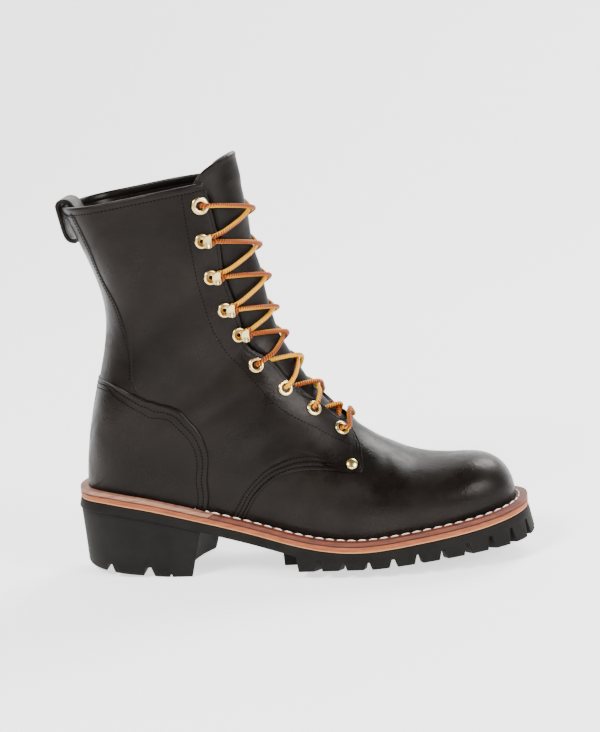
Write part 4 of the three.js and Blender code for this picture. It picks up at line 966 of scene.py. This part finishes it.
for k, (x, wide, deep) in enumerate(HEEL_GROOVES):
    low, high = heel_tread(x) - 3.0, heel_tread(x) + deep
    profile = [(-wide / 2 - 1, low), (wide / 2 + 1, low), (wide / 4, high), (-wide / 4, high)]
    prism = [(x + off, y, z) for y in (-80, 80) for off, z in profile]
    cutter = make(f"groove_{k}", prism, [(0, 1, 2, 3), (7, 6, 5, 4), (0, 4, 5, 1), (1, 5, 6, 2),
                                         (2, 6, 7, 3), (3, 7, 4, 0)], rubber)
    cut = heel.modifiers.new("cut", "BOOLEAN")
    cut.operation, cut.solver, cut.object = "DIFFERENCE", "EXACT", cutter
    bpy.context.view_layer.update()
    shape = heel.evaluated_get(bpy.context.evaluated_depsgraph_get())
    carved = bpy.data.meshes.new_from_object(shape)
    heel.modifiers.remove(cut)
    heel.data = carved
    bpy.data.objects.remove(cutter)
heel.data.set_sharp_from_angle(angle=np.radians(35))

# The metal: brass-plated eyelets with a rolled flange, speed hooks and domed rivets. A
# barrel goes through the leather and is clenched inside it.
EYELET_HOLE = 5.4
LACING = np.array([
    # at    down   across  hook
    (0.310, 0.089, 10.6, 0), (0.371, 0.115, 10.6, 0), (0.436, 0.157, 10.6, 0),
    (0.522, 0.167, 10.6, 0), (0.620, 0.157, 10.2, 1), (0.685, 0.204, 10.2, 1),
    (0.768, 0.259, 10.2, 1), (0.841, 0.282, 10.2, 1), (0.902, 0.239, 12.0, 0)])
RIVET = (0.275, 0.270)
brass, coat, add = new_finish("brass plate", (0.72, 0.60, 0.34), 0.22, Metallic=1.0)
tarnish = noise(add, add("ShaderNodeTexCoord", out="Object"), 110.0, 2.0)
coat(Base_Color=shades(add, tarnish, [(0.35, (0.80, 0.64, 0.28)), (0.70, (0.58, 0.42, 0.15))]),
     Roughness=spread(add, tarnish, 0.3, 0.7, 0.20, 0.30))


def metal_frame(row, side, lift):
    """Axes x level to the front, y up, z outward, and the place `lift` off the last."""
    at, v = row[0] * LAST_END, side * around(row[1])
    out = last_normal(at, v)
    front = unit(np.array([1.0, 0, 0]) - out * out[0])
    axes = np.stack([front, -side * np.cross(out, front), out])
    return axes, last_point(at, v) + out * (lift + crease(at, v))


def turned(profile, count=40):
    """A solid turned round z from (radius, height) points, closed where the radius is 0."""
    a = np.linspace(0, 2 * np.pi, count, endpoint=False)
    r, z = np.asarray(profile, float).T
    points = np.stack([r[:, None] * np.cos(a), r[:, None] * np.sin(a), z[:, None] + 0 * a], -1)
    return points.reshape(-1, 3), grid_faces(len(r), count, wrap=True)


def arc(radius, height, tall, wide, start, stop, count):
    """(radius, height) points of an arc of an ellipse, its angles in degrees."""
    a = np.radians(np.linspace(start, stop, count))
    return list(zip(radius + wide * np.cos(a), height + tall * np.sin(a)))


def eyelet(across):
    """A rolled flange on the leather, and a barrel through it, clenched inside."""
    bore, out = EYELET_HOLE / 2, across / 2
    flange = arc((bore + out) / 2, 0.25, 1.0, (out - bore) / 2, 180, 0, 15)
    return turned([(bore, -3.3), *flange, (out, 0.0), (bore + 0.6, 0.0), (bore + 0.6, -2.9),
                   (bore + 1.6, -3.1), (bore + 1.5, -3.6), (bore + 0.3, -3.6), (bore, -3.3)])


HOOK_LINE = np.array([  # forward of the rivet, height
    (3.2, 0.5), (4.5, 0.7), (5.0, 1.9), (5.1, 3.6), (4.7, 5.2), (3.6, 6.4), (2.0, 6.9), (0.4, 6.8),
    (-0.8, 6.0)])
HOOK_HALF = np.array([  # place along that line, half width
    (0, 1.4), (1.0, 1.1), (2.2, 1.1), (3.0, 1.9), (4.0, 3.3), (5.0, 4.1), (6.0, 4.3), (7.0, 3.7),
    (7.6, 2.6), (7.9, 1.3), (8, 0.3)])


def hook(across):
    """A rolled ring with a rivet's bore through its hollow middle, and a tongue of metal
    bent up from its front edge over the lace, a little dished."""
    r, bore = across / 2, 1.3
    base = turned([(r, -0.2), *arc(r - 1.25, 0.1, 0.95, 1.25, 0, 180, 13), (bore + 0.3, -0.15),
                   (bore, -0.35), (bore, -3.5), (bore + 1.3, -3.5), (bore + 1.4, -3.1),
                   (bore + 0.6, -2.9), (bore + 0.6, -0.5), (r, -0.2)], 36)
    s = np.linspace(0, 8, 44)
    x, z = (curve(np.arange(9), HOOK_LINE[:, k])(s) for k in (0, 1))
    way = unit(np.stack([np.gradient(x), np.gradient(z)], -1))
    half = np.interp(s, HOOK_HALF[:, 0], HOOK_HALF[:, 1])[:, None]
    thick = 0.62 * np.interp(s, [0, 7.3, 8], [1, 1, 0.5])[:, None]
    a = np.linspace(0, 2 * np.pi, 20, endpoint=False)
    u = half * power(np.cos(a), 0.8)
    w = thick * power(np.sin(a), 0.8) - 0.055 * u**2
    stem = np.stack([x[:, None] - way[:, 1:] * w, u, z[:, None] + way[:, :1] * w], -1)
    return gather([base, cord(stem)])


FACE = QUARTER_STEP + 0.3
for word, side in SIDES:
    count = {"eyelet": 0, "hook": 0}
    for row in LACING:
        kind, solid = ("hook", hook) if row[3] else ("eyelet", eyelet)
        count[kind] += 1
        node = f"{kind}_{word}_{count[kind]}"
        axes, here = metal_frame(row, side, FACE)
        points, faces = solid(row[2])
        make(f"{node}_metal", here + points @ axes, faces, brass, "brass", [node], 50)
    axes, here = metal_frame(RIVET, side, FACE)
    points, faces = turned([(0, 0), (4.0, 0), (4.0, 0.15), *arc(0, 0.35, 1.5, 3.95, 0, 90, 9)])
    make(f"rivet_{word}_metal", here + points @ axes, faces, brass, "brass", [f"rivet_{word}"], 50)

# The lace: one round braid, yellow with rust flecks. From a bar across the lowest eyelets
# each half goes inside, crosses, comes out of the next eyelet and crosses again, then
# round the hooks, and in at the top eyelets, where its ends are tucked away.
LACE_ROUND = 3.1
braid, coat, add = new_finish("braided lace", (0.70, 0.26, 0.006), 0.6, Specular_IOR_Level=0.2)
lace_uv = add("ShaderNodeTexCoord", out="UV")
lace_u, lace_v = (add("ShaderNodeSeparateXYZ", Vector=lace_uv, out=axis) for axis in "XY")


def sums(kind, *values):
    """A maths node over up to three values."""
    sockets = {f"_{k}": value for k, value in enumerate(values)}
    return add("ShaderNodeMath", {"operation": kind}, **sockets)


def wave(turns_along, turns_round, start=0.0):
    """sin(2 pi (a u + b v + start)) over the lace's length u in mm and round v."""
    turn = 2 * np.pi
    first = sums("MULTIPLY_ADD", lace_u, turn * turns_along, turn * start)
    return sums("SINE", sums("MULTIPLY_ADD", lace_v, turn * turns_round, first))


# One side of the braid is yellow and the other rust, flecked where strands cross, and the
# two sides turn slowly round the lace
strands = sums("MULTIPLY", wave(0.42, 3), wave(0.42, -3))
flecks = sums("MULTIPLY", sums("MULTIPLY_ADD", strands, 0.25, wave(0.55, 2)), 0.42)
tone = sums("MULTIPLY_ADD", wave(-0.0048, 1, 0.75), 0.55, flecks)
YARNS = [(0.24, (0.125, 0.011, 0.001)), (0.44, (0.34, 0.080, 0.002)), (0.62, (0.66, 0.31, 0.004))]
coat(Base_Color=shades(add, spread(add, tone, -1.0, 1.0), YARNS),
     Normal=dents(add, strands, 0.5, 0.0005))


def smooth_path(points, spacing):
    """A Catmull-Rom curve with centripetal knots through points, at even spacing in mm."""
    p = np.asarray(points)
    p = np.concatenate([[2 * p[0] - p[1]], p, [2 * p[-1] - p[-2]]])
    knot = np.concatenate([[0], np.cumsum(np.sqrt(np.linalg.norm(np.diff(p, axis=0), axis=1)))])
    i = np.repeat(np.arange(1, len(p) - 2), 24)
    t = knot[i] + (knot[i + 1] - knot[i]) * np.tile(np.arange(24) / 24, len(p) - 3)

    def between(a, b, ta, tb):
        return a + (b - a) * ((t - knot[ta]) / (knot[tb] - knot[ta]))[:, None]

    a, b, c = (between(p[k], p[k + 1], k, k + 1) for k in (i - 1, i, i + 1))
    line = between(between(a, b, i - 1, i + 1), between(b, c, i, i + 2), i, i + 1)
    line = np.concatenate([line, p[-2:-1]])
    run = run_along(line)
    return read_along(line, run, np.linspace(0, run[-1], int(run[-1] / spacing) + 2))


def tube(name, line, radius, finish, slot, stands_for, sides=14):
    """A round cord along a line, closed by domed ends, its frame carried without twist. U is
    the length in mm and V goes once round."""
    way = unit(np.gradient(line, axis=0))
    across = np.zeros_like(way)
    across[0] = unit(np.cross(way[0], [0.3, 0.2, 0.9]))
    for k in range(1, len(way)):
        across[k] = unit(across[k - 1] - way[k] * (across[k - 1] @ way[k]))
    a = np.linspace(0, 2 * np.pi, sides, endpoint=False)[:, None]
    ring = radius * (across[:, None] * np.cos(a) + np.cross(way, across)[:, None] * np.sin(a))
    dome = ((1.0, 0.02), (0.8, 0.6), (0.4, 0.92))  # how far out, and the radius there
    start = [line[0] - way[0] * radius * far + ring[0] * r for far, r in dome]
    end = [line[-1] + way[-1] * radius * far + ring[-1] * r for far, r in dome[::-1]]
    rings = np.concatenate([start, line[:, None] + ring, end])
    points, faces = cord(rings)
    u = np.minimum(faces // sides, len(rings) - 1) * np.linalg.norm(line[1] - line[0])
    v = (faces % sides) / sides
    wraps = np.ptp(v, axis=1) > 0.5
    v = v + (wraps[:, None] & (v < 0.5))
    make(name, points, faces, finish, slot, stands_for, 60, np.stack([u, v], -1))


def over(row, side, lift, toward=0.0, up=0.0):
    """A point of the lace in a fastening's own frame, in mm."""
    axes, here = metal_frame(row, side, lift)
    return here + toward * axes[0] + up * axes[1]


def aimed(row, side, aim, places):
    """Points from a fastening towards aim: each (lift, far), with far mm along the leather."""
    axes, here = metal_frame(row, side, 0.0)
    way = aim - here
    way = unit(way - axes[2] * (way @ axes[2]))
    return [here + axes[2] * lift + way * far for lift, far in places]


OVER, UNDER = (3.05, 2.5), (-4.3, -2.2)  # lift of the lace at a throat's edge, and inside it


def cross(a, b, side, high, start=OVER, end=OVER):
    """Points of a straight run on the developed leather from fastening a to b on the other
    side: over or under each edge of the throat, and low or high where the halves cross."""
    v_a, v_b = side * around(a[1]), -side * around(b[1])
    at_a, at_b = a[0] * LAST_END, b[0] * LAST_END
    t = np.linspace(0, 1, 400)
    v = mix(v_a, v_b, t)
    ridge = unit(last_point(at_b, 0.0) - last_point(at_a, 0.0))
    level = mix(last_point(at_a, v_a) @ ridge, last_point(at_b, v_b) @ ridge, t)
    reach = 0.03 * LAST_END
    at = halve(at_a - reach + 0 * v, at_b + reach + 0 * v,
               lambda at: last_point(at, v) @ ridge < level)
    inside = np.flatnonzero(np.abs(v) < throat_v(at, 1))
    edge_a, edge_b, middle = t[inside[0]], t[inside[-1]], t[np.argmin(np.abs(v))]
    mm = 1 / np.linalg.norm(last_point(at[0], v[0]) - last_point(at[-1], v[-1]))
    keys = [(edge_a - 2.5 * mm, start[0]), (edge_a, start[0]), (edge_a + 3.5 * mm, start[1]),
            (middle, high),
            (edge_b - 3.5 * mm, end[1]), (edge_b, end[0]), (edge_b + 2.5 * mm, end[0])]
    keys = [(p, h) for p, h in keys if 0.02 < p < 0.98]
    keys = [key for k, key in enumerate(keys) if k == 0 or key[0] - keys[k - 1][0] > 0.8 * mm]
    p, h = np.array(keys).T
    return list(skin(np.interp(p, t, at), mix(v_a, v_b, p), h))


def half_lace(side, low_first):
    """One half: from the lowest eyelet on `side`, inside, to its end in a top eyelet."""
    points = [over(LACING[0], side, 3.2, 0.6, 0.4), over(LACING[0], side, -0.6),
              over(LACING[0], side, -4.2, 0.8, 1.0)]
    last = len(LACING) - 1
    for k in range(last):
        a, b = LACING[k], LACING[k + 1]
        high = (-0.7, 2.4)[(k + low_first) % 2]
        to_hook, to_end = b[3] > 0, k + 1 == last
        end = OVER if to_hook or to_end else UNDER
        points += cross(a, b, side, high, OVER if k else UNDER, end)
        side = -side
        if to_end:
            inward = [(4.4, 4.7), (3.6, 2.5), (1.5, 0.9), (-0.8, 0.4), (-2.6, -0.2)]
            return points + aimed(b, side, points[-1], inward)
        aim = cross(b, LACING[k + 2], side, high)[0]
        if to_hook:
            points += aimed(b, side, points[-1], [(FACE + 2.3, 8.2)])
            points += [over(b, side, FACE + 2.8, 4.7, -2.7), over(b, side, FACE + 3.0, 2.6, -0.1),
                       over(b, side, FACE + 2.8, 4.3, 2.7)]
            points += aimed(b, side, aim, [(FACE + 2.3, 8.2)])
        else:
            outward = [(-1.0, 0.4), (1.6, 0.9), (3.6, 2.5), (4.4, 4.7), (3.5, 7.8)]
            points += [over(b, side, -4.3, 0.9, -0.9)] + aimed(b, side, aim, outward)


bar_at = LACING[0][0] * LAST_END - np.array([0.2, 0.6, 0.2])
bar = [over(LACING[0], -1, 4.6, 3.9), *skin(bar_at, [-0.055, 0.0, 0.055], [4.4, 4.0, 4.4]),
       over(LACING[0], 1, 4.6, 3.9)]
lace_line = smooth_path(half_lace(-1, 0)[::-1] + bar + half_lace(1, 1), 0.8)
lace_nodes = ["lace_bar"] + [f"lace_cross_{k}" for k in range(1, 9)]
tube("lace", lace_line, LACE_ROUND / 2, braid, "lace", lace_nodes)

# The sewing: waxed black thread on the leathers, thick white thread on the welt. Each
# stitch is a spindle a little arched, its ends drawn down into their holes.
dark_thread = new_finish("black thread", (0.0010, 0.0009, 0.0008), 0.8, Specular_IOR_Level=0.08)[0]
white_thread = new_finish("white thread", (0.78, 0.72, 0.63), 0.8)[0]


def sew(name, line, out, pitch, long, thick, finish=dark_thread, sink=0.0):
    """Stitches along a line of points with outward directions: radius thick sqrt(1 - t^2),
    arched by 0.8 thick (1 - t^2), for t from -1 to 1 along the stitch."""
    run = run_along(line)
    middle = np.arange(pitch / 2, run[-1], pitch)
    here, away = read_along(line, run, middle), unit(read_along(out, run, middle))
    way = unit(read_along(line, run, middle + 0.5) - read_along(line, run, middle - 0.5))
    t = np.array([-1, -0.82, -0.35, 0.35, 0.82, 1.0])[:, None]
    a = np.linspace(0, 2 * np.pi, 6, endpoint=False)
    radius = thick * np.sqrt(np.maximum(0.01, 1 - t**2))
    arch = thick * (0.8 * (1 - t**2) - 0.55) - sink
    local = np.stack([long / 2 * t + 0 * a, radius * np.cos(a), arch + radius * np.sin(a)], -1)
    frames = np.stack([way, np.cross(way, away), away], 1)
    points = here[:, None] + local.reshape(-1, 3) @ frames
    caps = [(0, 5, 4, 3), (0, 3, 2, 1), (30, 31, 32, 33), (30, 33, 34, 35)]
    faces = np.concatenate([grid_faces(6, 6, wrap=True), caps])
    make(name, *gather([(stitch, faces) for stitch in points]), finish, sharp=60)


def seam(at, v, lift):
    return on_skin(at, v, lift), last_normal(at, v)


def off_line(at, v, e):
    """The line (at, v) moved e mm square to itself on the developed leather."""
    da, dv = np.gradient(at), np.gradient(v * PER_V)
    size = np.hypot(da, dv)
    return at + e * dv / size, v - e * da / size / PER_V


EYESTAY_ROW = np.array([
    (0.283, 0.142), (0.310, 0.163), (0.354, 0.195), (0.396, 0.236), (0.431, 0.257), (0.473, 0.252),
    (0.521, 0.220), (0.596, 0.210), (0.652, 0.260), (0.715, 0.299), (0.777, 0.339), (0.827, 0.354),
    (0.883, 0.337), (0.937, 0.308)])
eyestay_v = curve(EYESTAY_ROW[:, 0] * LAST_END, around(EYESTAY_ROW[:, 1]))
for word, side in SIDES:
    # three rows inside the quarter's lower edge, the upper two turned down at their end
    row_v = np.linspace(around(0.335), 0.995, 160)
    for k, (e, end) in enumerate(zip(QUARTER_ROWS, (0.330, 0.325, 0.318))):
        at, v = off_line(quarter_edge(row_v), row_v, e)
        at, v = at[v > around(end)], v[v > around(end)]
        sew(f"quarter_row_{word}_{k}", *seam(at, side * v, QUARTER_STEP - 0.12), 2.3, 2.0, 0.40)
    # one beside the throat and one round the eyelets and hooks
    at = np.linspace(0.302, 0.955, 220) * LAST_END
    v = throat_v(at, side) + FRONT_ROW / PER_V
    sew(f"throat_row_{word}", *seam(at, side * v, QUARTER_STEP - 0.08), 2.0, 1.7, 0.27)
    at = np.linspace(0.283, 0.94, 240) * LAST_END
    v = side * eyestay_v(at)
    sew(f"eyestay_row_{word}", *seam(at, v, QUARTER_STEP - 0.06), 2.6, 2.2, 0.36)
    # two rows inside the counter's edge, and one inside each edge of the backstay
    s = np.linspace(0.01, 0.985, 260)
    for k, e in enumerate(COUNTER_ROWS):
        at, v = off_line(counter_at(s), counter_v(s), e)
        keep = (v < 0.995) & (v > 0)
        at, v = at[keep], side * v[keep]
        sew(f"counter_row_{word}_{k}", skin(at, v, COUNTER_LIFT - 0.1 + 0.5 * crease(at, v)),
            last_normal(at, v), 2.3, 2.0, 0.40)
    at = np.linspace(0.70, 0.95, 120) * LAST_END
    v = np.minimum(0.985, backstay_v(at)) + BACKSTAY_ROW / PER_V
    sew(f"backstay_row_{word}", *seam(at, side * v, BACKSTAY_LIFT - 0.12), 2.3, 1.95, 0.34)
    # round the collar, through the binding
    start = throat_v(at_collar(side * np.linspace(0.3, 1, 160), 5.0), side)
    v = side * mix(start, 1.0, np.linspace(0.004, 0.996, 160))
    sew(f"collar_row_{word}", *seam(at_collar(v, 5.0), v, 1.55), 2.6, 2.1, 0.34)
    # the welt's thick row, close to the upper
    at = place_of(-14.0) * np.linspace(0, 1, 500)**1.3
    here, away = edge_line(side, at)
    line = against_upper(at, side, here, AIR + WELT_THICK, away, 2.1)
    sew(f"welt_row_{word}", line, [0, 0, 1.0] + 0 * line, 7.4, 6.2, 0.60, white_thread, -0.12)
    # the strap's edges, on its outer face
    lane = strap_line + strap_out * 1.05 + [0, side * (LOOP_WIDE / 2 - LOOP_ROW), 0]
    sew(f"strap_row_{word}", lane, strap_out, 2.6, 2.1, 0.36)

# The studio: a pale floor that turns up behind, soft lights and the camera of the photo.
white = new_finish("pale floor", (0.85, 0.85, 0.85), 0.9, Emission_Color=(1, 1, 1, 1),
                   Emission_Strength=1.35)[0]
# From its front edge, turned up by 3 m, the floor runs 10 m back, bends up and rises 2.5 m
t = np.linspace(0, 1, 60)
bend = np.clip((t - 0.5) / 0.35, 0, 1) * np.pi / 2
deep = np.where(t < 0.5, -9000 + 20000 * t, 1000 + 1200 * np.sin(bend))
high = np.where(t < 0.5, 0, 1200 * (1 - np.cos(bend))) + np.clip((t - 0.85) / 0.15, 0, 1) * 2500
high = high + 3000 * np.clip((0.05 - t) / 0.05, 0, 1)
wide = np.array([-4000.0, 4000.0])[:, None]
sheet = np.stack(np.broadcast_arrays(wide, deep, high - 0.05), -1).reshape(-1, 3) * 0.001
mesh = bpy.data.meshes.new("floor")
mesh.from_pydata(sheet.tolist(), [], grid_faces(2, len(t)).tolist())
mesh.polygons.foreach_set("use_smooth", np.ones(len(mesh.polygons), bool))
mesh.materials.append(white)
floor = bpy.data.objects.new("floor", mesh)


def light(name, place, aim, size, power):
    """A round soft light, turned to a point."""
    lamp = bpy.data.lights.new(name, "AREA")
    lamp.shape, lamp.size, lamp.energy = "DISK", size, power
    holder = bpy.data.objects.new(name, lamp)
    holder.location = place
    way = mathutils.Vector(aim) - mathutils.Vector(place)
    holder.rotation_euler = way.to_track_quat("-Z", "Y").to_euler()
    return holder


lights = [light("key", (-0.9, -1.3, 1.6), (0.05, 0, 0.12), 0.75, 70),
          light("fill", (1.5, -0.9, 0.9), (0.1, 0, 0.1), 1.0, 44),
          light("back", (0.9, 1.2, 1.5), (0.08, 0, 0.15), 1.0, 42)]
world = bpy.data.worlds.new("studio")
world.use_nodes = True
sky = world.node_tree.nodes["Background"].inputs
sky["Color"].default_value, sky["Strength"].default_value = (1, 1, 1, 1), 0.12
bpy.context.scene.world = world

lens = bpy.data.cameras.new("camera")
lens.lens, lens.sensor_width, lens.clip_end = 101.26, 36.0, 20
camera = bpy.data.objects.new("camera", lens)
yaw, pitch, roll = np.radians([7, 12, -4.4])
back = mathutils.Vector((np.sin(yaw) * np.cos(pitch), -np.cos(yaw) * np.cos(pitch), np.sin(pitch)))
camera.location = mathutils.Vector((0.09175, 0, 0.1373)) + 1.414 * back
camera.rotation_mode = "QUATERNION"
spin = mathutils.Quaternion((0, 0, 1), roll)
camera.rotation_quaternion = (-back).to_track_quat("-Z", "Y") @ spin
for piece in (floor, *lights, camera):
    bpy.context.scene.collection.objects.link(piece)
bpy.context.scene.camera = camera
